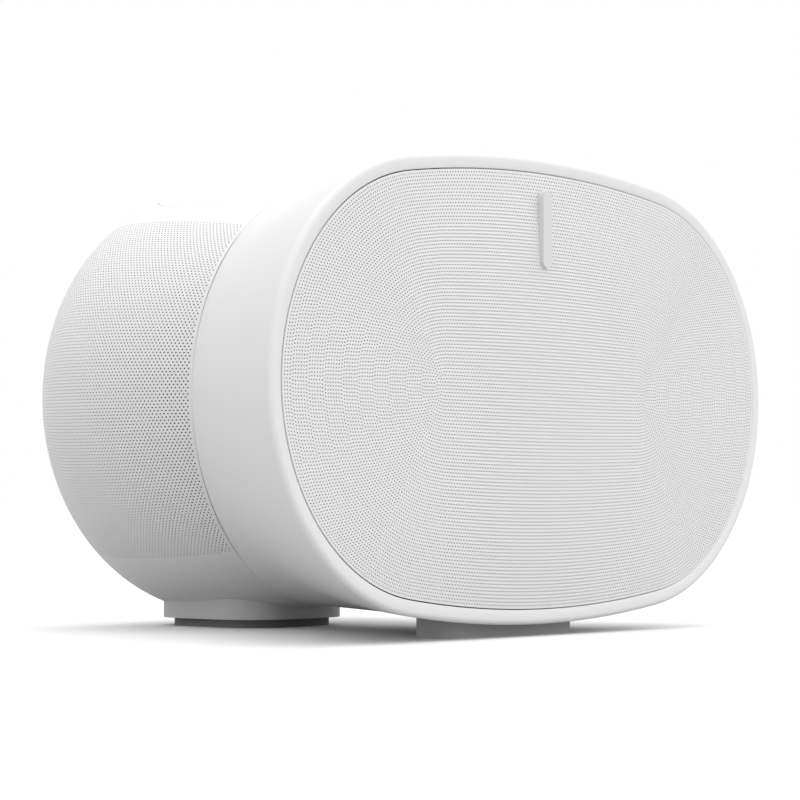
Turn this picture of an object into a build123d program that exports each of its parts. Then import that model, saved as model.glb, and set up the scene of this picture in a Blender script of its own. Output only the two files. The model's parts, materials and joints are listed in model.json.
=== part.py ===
from build123d import *

import math
import os

# Smart speaker: a wide front body pinched at a waist, with a perforated drum behind it.
# Millimetres, +Z up, front towards -Y. The origin is on the floor under the middle of the speaker.
# Every make_ function returns one separate piece, and the end of the file writes them all.

os.makedirs("parts", exist_ok=True)

# ---------------------------------------------------------------- casing sizes
body_width = 260.0            # overall X
body_depth = 185.0            # overall Y
body_height = 160.0           # overall Z, feet included
floor_gap = 4.0               # lowest point of the casing above the floor
wall = 3.0                    # moulded casing wall
seam = 0.3                    # gap between neighbouring outside pieces
fit = 0.2                     # gap round an inner piece in its seat

grille_dome = 2.4             # how far the front grille bulges past the rim
grille_thickness = 1.3        # perforated sheet
rim_width = 5.0               # plain border between the grille and the outline
rim_round = 1.8               # rounding of the front edge
rim_depth = 4.2               # full thickness of the moulding behind the rim
rim_end_drop = 4.0            # half height of the rim minus the radius of its ends
taper_bulge = 3.0             # how far the taper swells past a straight line, half way
taper_end_drop = 4.5          # as rim_end_drop, half way down the taper
waist_y = 9.0                 # the crease between front body and drum
waist_half_width = 66.0
waist_inset_z = 4.0           # the waist is this much lower than the rim at the top
drum_y = 56.0                 # where the drum reaches its full width
drum_half_width = 78.5
back_round = 34.0             # rounding between the drum and its flat back

# ---------------------------------------------------------------- outside fittings
touch_width = 74.0            # control panel on top of the drum
touch_depth = 46.0
touch_corner = 20.7
touch_y = 46.0
trough_length = 44.0          # finger groove in the control panel
trough_width = 9.0
trough_depth = 1.0
trough_setback = 4.0          # groove behind the middle of the panel
lens_radius = 1.2             # status light
lens_setback = 16.5           # in front of the middle of the panel
back_panel_width = 50.0
back_panel_height = 78.0
back_panel_corner = 12.0
side_grille_depth = 64.0      # perforated side panels of the drum, along Y
side_grille_height = 112.0
side_grille_corner = 14.0
side_grille_y = 46.0
plinth_width = 56.0
plinth_depth = 56.0
plinth_corner = 18.0
plinth_y = 45.0
plinth_lift = 3.0             # height of the rubber foot under the plinth
plinth_step = 4.0             # how far the rubber foot is set back from the plinth's edge
plinth_rise = 12.0            # top of the plinth above the lowest point of the casing
front_foot_width = 70.0
front_foot_depth = 18.0
front_foot_corner = 8.0
front_foot_setback = 13.5     # from the front of the grille to the front of the foot
front_foot_rise = 8.0         # top of the foot above the lowest point of the casing
badge_length = 26.0
badge_width = 4.6
badge_height = 0.8
badge_rise = 54.0             # centre of the badge above the middle of the grille

# ---------------------------------------------------------------- stand thread
insert_radius = 4.5
insert_bore = 2.5             # minor radius of an M6 thread
insert_length = 11.0

# ---------------------------------------------------------------- drivers
tweeter_flange_radius = 19.0
tweeter_flange_thickness = 3.0
tweeter_magnet_radius = 15.0
tweeter_depth = 18.0
dome_radius = 10.0
dome_rise = 3.5
dome_skin = 0.6
dome_coil_length = 6.0
tweeter_gap_depth = 9.9       # magnetic gap and the space round the pole
tweeter_pole_drop = 2.0       # top of the pole below the flange's face
coil_gap = 0.7                # free space round a moving coil or dome edge
horn_depth = 15.0
horn_mouth = 27.0
horn_wall = 1.6
horn_foot = 2.0               # extra wall at a horn's throat
horn_flare = 0.3              # share of the widening reached half way out
top_horn_mouth = 21.0
front_horn_drop = 27.0        # front horn below the middle, upward horn above it
top_horn_rise = 36.0
front_horn_sink = 11.0        # a tweeter's face behind its horn's mouth
top_horn_sink = 18.0
side_horn_sink = 19.0
top_horn_drop = 6.0           # upward tweeter below the middle of its opening
side_horn_shift = 8.0         # side tweeters in from the middle of their openings
top_horn_tilt = 50.0          # degrees above straight ahead
side_horn_x = 82.0
side_horn_turn = 28.0         # degrees outwards from straight ahead
horn_setback = 9.0            # from the baffle's front face to a horn's mouth

woofer_flange_width = 6.0     # flange outside the surround
woofer_flange_thickness = 3.0
woofer_seat_gap = 4.5         # between a woofer flange's rear edge and the inside of the drum
woofer_y = 46.5
basket_neck_radius = 24.0
basket_depth = 30.0
basket_wall = 1.6
basket_floor = 2.0
basket_floor_gap = 2.4        # between the coil and the basket's floor
basket_spokes = 6
window_width = 14.0
window_height = 13.5
window_drop = 16.5
cone_radius = 29.0
cone_neck_radius = 11.6
cone_depth = 15.0
cone_skin = 1.6               # measured along the axis
cone_drop = 2.0               # cone's edge below the flange's face
dust_cap_radius = 15.0
dust_cap_rise = 4.5
dust_cap_skin = 0.9
dust_cap_gap = 0.3
spider_thickness = 1.0
spider_rib = 0.8
spider_ribs = (15.0, 18.0)
surround_width = 6.0
surround_skin = 1.0
coil_radius = 11.6
coil_skin = 0.8
coil_length = 17.0
magnet_radius = 23.0
magnet_height = 16.0
back_plate_height = 3.5
woofer_screws = 6

# ---------------------------------------------------------------- controls and sockets
button_radius = 5.0
button_travel = 1.0
button_rise = 0.8             # how far the pairing button stands out of the back panel
button_tail = 1.5             # end of the button behind the panel
switch_body = 6.0             # side of the small switches behind the controls
button_z_from_middle = 29.0
switch_width = 5.0
switch_height = 4.0
switch_travel = 3.0
switch_rise = 0.8
switch_z_from_middle = 13.0
control_gap = 0.35            # running gap round the button and the slider
port_width = 9.0
port_height = 3.4
port_z_from_middle = -5.0
inlet_width = 19.0
inlet_height = 10.5
inlet_depth = 15.0
inlet_wall = 1.6
inlet_pin_radius = 1.2
inlet_pin_pitch = 8.6
inlet_z_from_middle = -24.0

# ---------------------------------------------------------------- fasteners, all the same size
screw_radius = 1.1
screw_head_radius = 2.0
screw_head_height = 1.3
screw_length = 6.0
post_radius = 2.8

# ---------------------------------------------------------------- boards and chassis
board = 1.6                   # thickness of every circuit board
bulkhead_thickness = 4.0
bulkhead_setback = 8.0        # middle of the bulkhead in front of the crease
baffle_thickness = 4.0
baffle_setback = 7.0          # from the rim's front plane to the baffle
baffle_clearance = 1.0        # slack all round the baffle
baffle_boss_x = 28.0          # bosses in from the side of the outline
baffle_boss_share = 0.436     # height of the bosses as a share of the half height
baffle_boss_length = 30.0
dust_mesh_thickness = 0.5
dust_mesh_gap = 0.5           # between the front grille and its dust mesh
side_mesh_gap = 0.1
dust_mesh_lap = 1.5           # dust mesh set in from the pocket's edge
carrier_step = 2.5            # grille carrier set in from the pocket's edge
carrier_width = 4.5
gasket_thickness = 2.0
gasket_width = 6.0
bulkhead_slack = 0.6
bar_radius = 3.0              # bars that tie the two woofer plates together
bar_reach = 24.0              # bars in front of and behind the woofers' axis
bar_clearance = 6.0           # bar centres outside the woofer flange
chassis_plate = 3.0
main_board_size = (88.0, 84.0)
amp_board_size = (104.0, 60.0)
amp_board_drop = 14.0         # middle of the amplifier board below the middle of the speaker
main_board_standoff = 6.0     # between the bulkhead and the main board
amp_board_standoff = 7.0      # between the heat sink and the main board
post_inset = 5.0              # board posts in from the main board's edges
post_gap = 0.6                # amplifier posts clear of the main board's edges
amp_post_inset = 8.0
shield_layout = (             # x, rise, width, height and thickness of the main board's chips
    (-18.0, 12.0, 24.0, 24.0, 3.0),
    (16.0, 14.0, 18.0, 18.0, 2.0),
    (20.0, -16.0, 26.0, 16.0, 3.0),
    (-24.0, -22.0, 14.0, 10.0, 4.0),
)
amp_channels = 6
amp_channel_pitch = 12.8
amp_coil_radius = 4.6
amp_coil_height = 7.0
amp_coil_drop = 20.0
amp_chip_size = 9.0
amp_chip_thickness = 3.0
amp_chip_rise = 16.0
lead_radius = 1.2
power_board_size = (60.0, 58.0)
touch_board_size = (58.0, 30.0)
port_board_size = (24.0, 50.0)
heat_sink_size = (64.0, 44.0, 12.0)
heat_sink_base = 4.0          # thickness of the heat sink's base
heat_sink_fins = 9
heat_sink_fin = 2.0
power_board_gap = 1.5         # clear of the curved casing below it
transformer_size = (24.0, 26.0, 16.0)
filter_size = (14.0, 18.0, 14.0)
capacitor_radius = 6.2
capacitor_height = 13.0
capacitor_pitch = 18.0
touch_board_drop = 11.0       # below the inside of the casing
microphone_size = (3.8, 3.0, 1.2)
microphone_x = 24.0
microphone_y = 11.0
aerial_thickness = 1.0
aerial_x = 58.0
aerial_rise = 34.0
aerial_setback = 16.0         # in front of the main board
aerial_size = (16.0, 30.0)
top_aerial_rise = 60.0
top_aerial_setback = 4.0
top_aerial_size = (28.0, 6.0)
lead_hole_x = 18.0
lead_hole_share = 0.7         # of the half height
woofer_lead_bend = 6.0
woofer_lead_reach = 22.0      # behind the crease
woofer_lead_x = 34.0
tweeter_lead_bend = 4.0
tweeter_lead_length = 8.0     # straight run behind a tweeter
tweeter_lead_x = 56.0
tweeter_lead_drop = 30.0

# ---------------------------------------------------------------- derived places
half_width = body_width / 2
half_height = (body_height - floor_gap) / 2
centre_z = floor_gap + half_height
front_y = -body_depth / 2
back_y = body_depth / 2
rim_y = front_y + grille_dome
taper_length = waist_y - rim_y
waist_half_height = half_height - waist_inset_z
grille_half_width = half_width - rim_width
grille_half_height = half_height - rim_width
baffle_y = rim_y + baffle_setback
port_board_y = back_y - wall - 8.0
casing_bottom = centre_z - half_height
bulkhead_y = waist_y - bulkhead_setback
main_board_y = bulkhead_y - bulkhead_thickness / 2 - main_board_standoff - board
amp_board_y = main_board_y - heat_sink_size[2] - amp_board_standoff
touch_board_z = body_height - wall - touch_board_drop
woofer_flange_radius = cone_radius + surround_width + woofer_flange_width
front_mesh_y = rim_y + grille_thickness + dust_mesh_gap


def back_drop(y):
    """How far the rounded back draws the drum in at depth y."""
    share = max(y - back_y + back_round, 0) / back_round
    return back_round * (1 - math.sqrt(1 - share ** 2))


def corner_past_round(straight_size, slope):
    """Size of the sharp front corner whose rounded form reaches straight_size."""
    edge_angle = math.pi / 2 - math.atan(slope)
    return straight_size + rim_round * (1 / math.tan(edge_angle / 2) - 1)


rim_slope_x = (half_width - waist_half_width - 4 * taper_bulge) / taper_length
rim_slope_z = waist_inset_z / taper_length
corner_half_width = corner_past_round(half_width, rim_slope_x)
corner_half_height = corner_past_round(half_height, rim_slope_z)
woofer_room = drum_half_width - wall - back_drop(woofer_y + woofer_flange_radius)
woofer_seat_x = woofer_room - woofer_seat_gap     # outer face of a woofer flange from the middle plane


# ================================================================ shape helpers
def cross_plane(y, z=centre_z):
    """Plane across the speaker at depth y, seen from the front."""
    return Plane(origin=(0, y, z), x_dir=(1, 0, 0), z_dir=(0, -1, 0))


def oval(a, b, end_radius):
    """Closed outline of four tangent arcs, 2a wide and 2b high, with round ends."""
    if abs(a - b) < 1e-6:
        return Circle(a)
    top_radius = ((a - end_radius) ** 2 + b ** 2 - end_radius ** 2) / (2 * (b - end_radius))
    join_x = top_radius * (a - end_radius) / (top_radius - end_radius)
    join_z = (b - top_radius) + top_radius * (top_radius - b) / (top_radius - end_radius)
    top = ThreePointArc((-join_x, join_z), (0, b), (join_x, join_z))
    right = ThreePointArc((join_x, join_z), (a, 0), (join_x, -join_z))
    bottom = ThreePointArc((join_x, -join_z), (0, -b), (-join_x, -join_z))
    left = ThreePointArc((-join_x, -join_z), (-a, 0), (-join_x, join_z))
    return make_face([top, right, bottom, left])


def ring_radius(a, b):
    """End radius that makes a four-arc outline look like an ellipse."""
    return 0.75 * b * b / a + 0.25 * math.sqrt(a * b)


def ring(a, b, y):
    """Nearly elliptical section across the speaker."""
    return cross_plane(y) * oval(a, b, ring_radius(a, b))


def rim_oval(inset, y):
    """Section with the front rim's outline, moved in by inset."""
    a = half_width - inset
    b = half_height - inset
    return cross_plane(y) * oval(a, b, b - rim_end_drop)


def front_form(inset, start=0.0):
    """Solid of the front body from the rim to the waist, moved in by inset."""
    middle_y = (rim_y + waist_y) / 2
    a0 = corner_half_width - inset * 1.2
    b0 = corner_half_height - inset
    a1 = (corner_half_width + waist_half_width) / 2 + taper_bulge - inset * 1.2
    b1 = (corner_half_height + waist_half_height) / 2 - inset
    a2 = waist_half_width - inset * 1.2
    b2 = waist_half_height - inset
    rim = cross_plane(rim_y) * oval(a0, b0, b0 - rim_end_drop)
    middle = cross_plane(middle_y) * oval(a1, b1, b1 - taper_end_drop)
    form = loft([rim, middle, ring(a2, b2, waist_y)])
    if start > 0:
        align = (Align.CENTER, Align.MIN, Align.CENTER)
        keep = Box(4 * half_width, taper_length, 4 * half_height, align=align)
        form &= Pos(0, rim_y + start, centre_z) * keep
    return form


def drum_form(inset):
    """Solid of the rear drum from the waist to its flat back, moved in by inset."""
    shoulder_y = (waist_y + drum_y) / 2
    shoulder_half_width = drum_half_width - (drum_half_width - waist_half_width) / 4
    shoulder_half_height = half_height - waist_inset_z / 4
    flare = loft([
        ring(waist_half_width - inset, waist_half_height - inset, waist_y),
        ring(shoulder_half_width - inset, shoulder_half_height - inset, shoulder_y),
        ring(drum_half_width - inset, half_height - inset, drum_y),
    ])
    widest = ring(drum_half_width - inset, half_height - inset, back_y - inset)
    barrel = extrude(widest, amount=back_y - inset - drum_y)
    back_edges = barrel.faces().sort_by(Axis.Y)[-1].edges()
    return flare + fillet(back_edges, back_round - inset)


def upright_block(width, depth, corner, y, low, high):
    """Vertical prism with round corners, centred on the middle plane."""
    outline = Pos(0, y, low) * RectangleRounded(width, depth, corner)
    return extrude(outline, amount=high - low)


def back_block(width, height, corner, near, far):
    """Prism with round corners running back from depth near to depth far."""
    outline = cross_plane(far) * RectangleRounded(width, height, corner)
    return extrude(outline, amount=far - near)


def side_block(side, grow=0.0):
    """Sideways prism with the outline of a side grille, side is -1 or +1."""
    plane = Plane(origin=(0, side_grille_y, centre_z), x_dir=(0, 1, 0), z_dir=(1, 0, 0))
    depth = side_grille_depth + 2 * grow
    height = side_grille_height + 2 * grow
    outline = RectangleRounded(depth, height, side_grille_corner + grow)
    return extrude(plane * outline, amount=side * 2 * drum_half_width)


def tube(outer, inner, low, high):
    """Ring about Z."""
    length = high - low
    base = (Align.CENTER, Align.CENTER, Align.MIN)
    return Pos(0, 0, low) * (Cylinder(outer, length, align=base) - Cylinder(inner, length, align=base))


def rod(radius, low, high):
    """Cylinder about Z."""
    return Pos(0, 0, low) * Cylinder(radius, high - low, align=(Align.CENTER, Align.CENTER, Align.MIN))


def standing_board(size, y, rise):
    """Circuit board across the speaker, with its front face at y and its middle raised by rise."""
    return Pos(0, y + board / 2, centre_z + rise) * Box(size[0], board, size[1])


def screw():
    """Screw about Z with its head's seat at z = 0 and its shank below."""
    body = rod(screw_head_radius, 0, screw_head_height) + rod(screw_radius, -screw_length, 0)
    hexagon = RegularPolygon(screw_head_radius / 2, 6)
    return body - Pos(0, 0, screw_head_height / 2) * extrude(hexagon, amount=screw_head_height)


def cross_rod(radius, x, z, near, far):
    """Round bar along Y from depth near to depth far."""
    return extrude(cross_plane(far, z) * Pos(x, 0) * Circle(radius), amount=far - near)


def main_board_posts():
    """Corner posts of the main board as (x, z)."""
    reach_x = main_board_size[0] / 2 - post_inset
    reach_z = main_board_size[1] / 2 - post_inset
    return [(x, centre_z + z) for x in (-reach_x, reach_x) for z in (-reach_z, reach_z)]


def amp_board_posts():
    """Corner posts of the amplifier board as (x, z), clear of the main board's edges."""
    reach_x = main_board_size[0] / 2 + post_radius + post_gap
    reach_z = amp_board_size[1] / 2 - amp_post_inset
    return [(x, centre_z - amp_board_drop + z) for x in (-reach_x, reach_x) for z in (-reach_z, reach_z)]


def baffle_bosses():
    """Bosses that the front baffle is screwed to as (x, z)."""
    reach_x = half_width - baffle_boss_x
    reach_z = half_height * baffle_boss_share
    return [(x, centre_z + z) for x in (-reach_x, reach_x) for z in (-reach_z, reach_z)]


front_solid = front_form(0)
front_hollow = front_form(wall, start=rim_depth)
drum_solid = drum_form(0)
drum_hollow = drum_form(wall)
insert_cut = Pos(0, plinth_y, 0) * rod(insert_radius, 0, plinth_lift + insert_length)


# ================================================================ casing
def make_front_shell():
    """Front moulding: rounded rim, the taper back to the waist, and four bosses."""
    front_edges = front_solid.faces().sort_by(Axis.Y)[0].edges()
    shell = fillet(front_edges, rim_round) - front_hollow
    pocket = extrude(rim_oval(rim_width, rim_y + rim_width), amount=2 * rim_width)
    shell -= pocket
    seat_y = baffle_y + baffle_thickness
    for x, z in baffle_bosses():
        shell += cross_rod(post_radius, x, z, seat_y, seat_y + baffle_boss_length) & front_solid
        shell -= cross_rod(screw_radius, x, z, seat_y, seat_y + screw_length)
    return shell


def make_dome(inset, offset):
    """Domed solid with the grille's outline, its top facing forwards."""
    sections = []
    for share in (1.0, 0.8, 0.6, 0.4, 0.2, 0.05):
        a = (grille_half_width - inset) * share
        b = (grille_half_height - inset) * share
        y = rim_y + offset - grille_dome * (1 - share ** 2)
        sections.append(cross_plane(y) * oval(a, b, b - rim_end_drop * share))
    return loft(sections)


def make_front_grille():
    """Domed perforated sheet that closes the front."""
    skirt = extrude(rim_oval(rim_width + seam, rim_y + grille_thickness), amount=grille_thickness)
    dome = skirt + make_dome(seam, 0)
    return dome - make_dome(seam, grille_thickness)


def make_front_dust_mesh():
    """Fine dust mesh behind the front grille."""
    outline = rim_oval(rim_width + dust_mesh_lap, front_mesh_y)
    return extrude(outline, amount=dust_mesh_thickness)


def make_grille_carrier():
    """Ring that holds the front grille and its dust mesh against the rim."""
    depth = baffle_y - front_mesh_y
    inset = rim_width + carrier_step
    outer = extrude(rim_oval(inset, baffle_y), amount=depth)
    inner = extrude(rim_oval(inset + carrier_width, baffle_y), amount=depth)
    return outer - inner


def make_badge():
    """Blank raised bar on the upper front of the grille."""
    face = cross_plane(front_y - badge_height, centre_z + badge_rise)
    outline = face * SlotOverall(badge_length, badge_width, rotation=90)
    bar = extrude(outline, amount=-badge_height - grille_dome)
    return bar - make_dome(seam, 0)


def make_rear_shell():
    """Drum moulding with openings for the side grilles, controls, sockets and plinth."""
    shell = drum_solid - drum_hollow
    shell -= back_block(back_panel_width, back_panel_height, back_panel_corner, drum_y, back_y + wall)
    shell -= touch_block(0)
    for side in (-1, 1):
        shell -= side_block(side)
    return shell - insert_cut


def make_side_grille(side):
    """Perforated panel in the side of the drum."""
    return (drum_solid - drum_form(grille_thickness)) & side_block(side, -seam)


def make_side_dust_mesh(side):
    """Fine dust mesh behind a side grille."""
    near = grille_thickness + side_mesh_gap
    sheet = drum_form(near) - drum_form(near + dust_mesh_thickness)
    return sheet & side_block(side, -dust_mesh_lap)


def touch_block(gap):
    """Vertical prism with the control panel's outline, made smaller by gap."""
    width = touch_width - 2 * gap
    depth = touch_depth - 2 * gap
    return upright_block(width, depth, touch_corner - gap, touch_y, centre_z, body_height + wall)


def lens_bore(radius):
    """Vertical cylinder where the status light sits."""
    return Pos(0, touch_y - lens_setback, 0) * rod(radius, centre_z, body_height + wall)


def make_touch_panel():
    """Control panel on top of the drum with its finger groove."""
    panel = (drum_solid - drum_hollow) & touch_block(seam)
    groove_path = Pos(0, touch_y + trough_setback, body_height + trough_width / 2 - trough_depth)
    groove = groove_path * Rot(0, 90, 0) * Cylinder(trough_width / 2, trough_length)
    return panel - groove - lens_bore(lens_radius + fit / 2)


def make_status_lens():
    """Clear lens of the status light."""
    return (drum_solid - drum_hollow) & lens_bore(lens_radius)


def make_back_panel():
    """Flat panel in the back with holes for the sockets and controls."""
    width = back_panel_width - 2 * seam
    height = back_panel_height - 2 * seam
    panel = back_block(width, height, back_panel_corner - seam, back_y - wall, back_y)
    slot_width = switch_width + switch_travel + 2 * control_gap
    holes = (
        (button_z_from_middle, Circle(button_radius + control_gap)),
        (switch_z_from_middle, Rectangle(slot_width, switch_height + 2 * control_gap)),
        (port_z_from_middle, SlotOverall(port_width, port_height)),
        (inlet_z_from_middle, SlotOverall(inlet_width, inlet_height)),
    )
    for rise, outline in holes:
        panel -= extrude(cross_plane(back_y, centre_z + rise) * outline, amount=wall)
    return panel


def make_plinth():
    """Plastic plinth under the drum."""
    top = casing_bottom + plinth_rise
    block = upright_block(plinth_width, plinth_depth, plinth_corner, plinth_y, plinth_lift, top)
    return block - drum_solid - insert_cut


def make_rear_foot():
    """Rubber foot under the plinth, with a way through to the stand thread."""
    width = plinth_width - 2 * plinth_step
    depth = plinth_depth - 2 * plinth_step
    pad = upright_block(width, depth, plinth_corner - plinth_step, plinth_y, 0, plinth_lift)
    return pad - Pos(0, plinth_y, 0) * rod(insert_radius + plinth_step, 0, plinth_lift)


def make_front_foot():
    """Foot under the front body, with its top shaped to the moulding above it."""
    y = front_y + front_foot_setback + front_foot_depth / 2
    top = casing_bottom + front_foot_rise
    block = upright_block(front_foot_width, front_foot_depth, front_foot_corner, y, 0, top)
    return block - front_solid


def make_stand_insert():
    """Brass insert with a thread for a stand."""
    ring_part = tube(insert_radius, insert_bore, plinth_lift, plinth_lift + insert_length)
    return Pos(0, plinth_y, 0) * ring_part


# ================================================================ drivers
def woofer_screw_places():
    """Screw positions round a woofer flange, in the woofer's own plane."""
    reach = woofer_flange_radius - screw_head_radius - seam
    angles = [2 * math.pi * (index + 0.5) / woofer_screws for index in range(woofer_screws)]
    return [(reach * math.cos(angle), reach * math.sin(angle)) for angle in angles]


def make_tweeter_motor():
    """Tweeter flange, magnet and centre pole, firing along +Z."""
    motor = rod(tweeter_flange_radius, -tweeter_flange_thickness, 0)
    motor += rod(tweeter_magnet_radius, -tweeter_depth, -tweeter_flange_thickness)
    motor -= rod(dome_radius + coil_gap, -tweeter_gap_depth, 0)
    pole_radius = dome_radius - dome_skin - 2 * coil_gap
    return motor + rod(pole_radius, -tweeter_gap_depth, -tweeter_pole_drop)


def cap(radius, rise):
    """Solid spherical cap, flat side down at z = 0."""
    ball_radius = (radius ** 2 + rise ** 2) / (2 * rise)
    ball = Pos(0, 0, rise - ball_radius) * Sphere(ball_radius)
    return ball & rod(radius * 1.2, 0, rise * 2)


def make_tweeter_dome():
    """Dome and its coil, which move together."""
    dome = cap(dome_radius, dome_rise) - cap(dome_radius - dome_skin, dome_rise - dome_skin)
    return dome + tube(dome_radius, dome_radius - dome_skin, -dome_coil_length, 0.0)


def make_horn(mouth):
    """Flared waveguide in front of a tweeter."""
    throat = dome_radius + coil_gap
    middle = throat + (mouth - throat) * horn_flare
    foot = throat + horn_wall + horn_foot
    inner_middle = (middle, horn_depth / 2 + horn_wall / 2)
    inner = ThreePointArc((throat, fit), inner_middle, (mouth, horn_depth))
    outer_middle = (middle + horn_wall, horn_depth / 2)
    outer = ThreePointArc((foot, fit), outer_middle, (mouth + horn_wall, horn_depth))
    base = Line((throat, fit), (foot, fit))
    lip = Line((mouth, horn_depth), (mouth + horn_wall, horn_depth))
    return revolve(Plane.XZ * make_face([inner, lip, outer, base]), Axis.Z)


def basket_form(radius_shrink):
    """Tapered basket body, wide at the flange and narrow at the magnet."""
    top_radius = cone_radius + surround_width + basket_wall - radius_shrink
    top = Pos(0, 0, -woofer_flange_thickness) * Circle(top_radius)
    bottom = Pos(0, 0, -basket_depth) * Circle(basket_neck_radius - radius_shrink)
    return loft([top, bottom], ruled=True)


def make_woofer_basket():
    """Pressed basket with windows between its spokes."""
    opening = cone_radius + surround_width
    basket = tube(woofer_flange_radius, opening, -woofer_flange_thickness, 0)
    basket += basket_form(0) - basket_form(basket_wall)
    floor_bore = coil_radius + basket_floor_gap
    floor_ring = tube(basket_neck_radius, floor_bore, -basket_depth, basket_floor - basket_depth)
    align = (Align.MIN, Align.CENTER, Align.CENTER)
    window = Box(2 * woofer_flange_radius, window_width, window_height, align=align)
    for index in range(basket_spokes):
        basket -= Pos(0, 0, -window_drop) * Rot(0, 0, 360 / basket_spokes * index) * window
    for x, y in woofer_screw_places():
        basket -= Pos(x, y, 0) * rod(screw_radius + fit, -woofer_flange_thickness, 0)
    return basket + floor_ring


def make_woofer_magnet():
    """Ring magnet, back plate and centre pole."""
    top = -basket_depth
    body = tube(magnet_radius, coil_radius + coil_gap, top - magnet_height, top)
    plate = rod(magnet_radius, top - magnet_height - back_plate_height, top - magnet_height)
    pole_radius = coil_radius - coil_skin - coil_gap
    return body + plate + rod(pole_radius, top - magnet_height, top + basket_floor)


def cone_solid():
    """Filled cone, used for both faces of the paper cone."""
    rim = Pos(0, 0, -cone_drop) * Circle(cone_radius)
    neck = Pos(0, 0, -cone_drop - cone_depth) * Circle(cone_neck_radius)
    return loft([rim, neck], ruled=True)


def make_woofer_cone():
    """Paper cone."""
    cone = cone_solid() - Pos(0, 0, cone_skin) * cone_solid()
    neck_z = -cone_drop - cone_depth
    return cone - rod(cone_neck_radius - coil_skin / 2, neck_z - cone_skin, neck_z + 2 * cone_skin)


def make_woofer_dust_cap():
    """Dust cap over the cone's neck."""
    slope = cone_depth / (cone_radius - cone_neck_radius)
    seat_z = (dust_cap_radius - cone_neck_radius) * slope - cone_drop - cone_depth
    inner = cap(dust_cap_radius - dust_cap_skin, dust_cap_rise - dust_cap_skin)
    return Pos(0, 0, seat_z + cone_skin + dust_cap_gap) * (cap(dust_cap_radius, dust_cap_rise) - inner)


def make_woofer_coil():
    """Voice coil on its former."""
    top = -cone_drop - cone_depth
    return tube(coil_radius, coil_radius - coil_skin, top - coil_length, top)


def make_woofer_surround():
    """Rubber roll between the cone's edge and the basket."""
    middle = cone_radius + surround_width / 2
    roll_radius = surround_width / 2 - seam
    level = -woofer_flange_thickness / 2
    profile = Pos(middle, level) * (Circle(roll_radius) - Circle(roll_radius - surround_skin))
    roll = revolve(Plane.XZ * profile, Axis.Z)
    return roll & tube(woofer_flange_radius, cone_radius, level, roll_radius)


def make_woofer_spider():
    """Flat corrugated damper between the former and the basket."""
    level = basket_floor - basket_depth
    edge = basket_neck_radius - basket_wall - 3 * fit
    disc = tube(edge, coil_radius + 2 * fit, level, level + spider_thickness)
    for radius in spider_ribs:
        disc += tube(radius + spider_rib, radius - spider_rib, level, level + spider_thickness + spider_rib)
    return disc


def place_on_axis(piece, point, direction):
    """Turn a piece that fires along +Z so that it fires along direction from point."""
    return Plane(origin=point, z_dir=direction).location * piece


def woofer_place(side):
    """Point and firing direction of a woofer."""
    return (side * woofer_seat_x, woofer_y, centre_z), (side, 0, 0)


def horn_place(name):
    """Point and firing direction of each tweeter's flange."""
    turn = math.radians(side_horn_turn)
    tilt = math.radians(top_horn_tilt)
    mouth_y = baffle_y + horn_setback
    if name == "front":
        return (0, mouth_y + front_horn_sink, centre_z - front_horn_drop), (0, -1, 0)
    if name == "top":
        forward = -math.cos(tilt)
        up = math.sin(tilt)
        point = (0, mouth_y + top_horn_sink, centre_z + top_horn_rise - top_horn_drop)
        return point, (0, forward, up)
    side = -1 if name == "left" else 1
    point = (side * (side_horn_x - side_horn_shift), mouth_y + side_horn_sink, centre_z)
    return point, (side * math.sin(turn), -math.cos(turn), 0)


# ================================================================ structure and boards
def make_baffle():
    """Front baffle with an opening before each horn."""
    inset = wall + fit + (baffle_setback + baffle_thickness) * rim_slope_x + baffle_clearance
    outline = rim_oval(inset, baffle_y + baffle_thickness)
    plate = extrude(outline, amount=baffle_thickness)
    middle = baffle_y + baffle_thickness / 2
    openings = [(0, -front_horn_drop, horn_mouth - 1), (0, top_horn_rise, top_horn_mouth + 1)]
    openings += [(side * side_horn_x, 0, horn_mouth + 1) for side in (-1, 1)]
    for x, rise, radius in openings:
        plate -= Pos(x, middle, centre_z + rise) * Rot(90, 0, 0) * Cylinder(radius, 2 * baffle_thickness)
    for x, z in baffle_bosses():
        plate -= cross_rod(screw_radius + fit, x, z, baffle_y, baffle_y + baffle_thickness)
    return plate


def make_bulkhead():
    """Wall across the waist that closes the drum's air space."""
    back = bulkhead_y + bulkhead_thickness / 2
    front = back - bulkhead_thickness
    outline = ring(waist_half_width - wall - fit - bulkhead_slack, waist_half_height - wall - fit, back)
    wall_part = extrude(outline, amount=bulkhead_thickness)
    for places, board_y in ((main_board_posts(), main_board_y), (amp_board_posts(), amp_board_y)):
        for x, z in places:
            wall_part += cross_rod(post_radius, x, z, board_y + board, front)
            wall_part -= cross_rod(screw_radius, x, z, board_y + board, board_y + screw_length)
    for x, z in lead_holes():
        wall_part -= cross_rod(lead_radius + fit, x, z, front, back)
    return wall_part


def make_waist_gasket():
    """Foam ring between the bulkhead and the drum."""
    far = bulkhead_y + bulkhead_thickness / 2 + gasket_thickness
    width = waist_half_width - wall - fit - 2 * bulkhead_slack
    height = waist_half_height - wall - fit - 2 * bulkhead_slack
    outer = extrude(ring(width, height, far), amount=gasket_thickness)
    return outer - extrude(ring(width - gasket_width, height - gasket_width, far), amount=gasket_thickness)


def chassis_space():
    """Room inside the drum that the woofer chassis may fill."""
    room = drum_form(wall + fit)
    start = bulkhead_y + bulkhead_thickness / 2 + gasket_thickness
    keep = Box(4 * half_width, body_depth, 4 * half_height, align=(Align.CENTER, Align.MIN, Align.CENTER))
    return room & Pos(0, max(start, waist_y), centre_z) * keep


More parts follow.
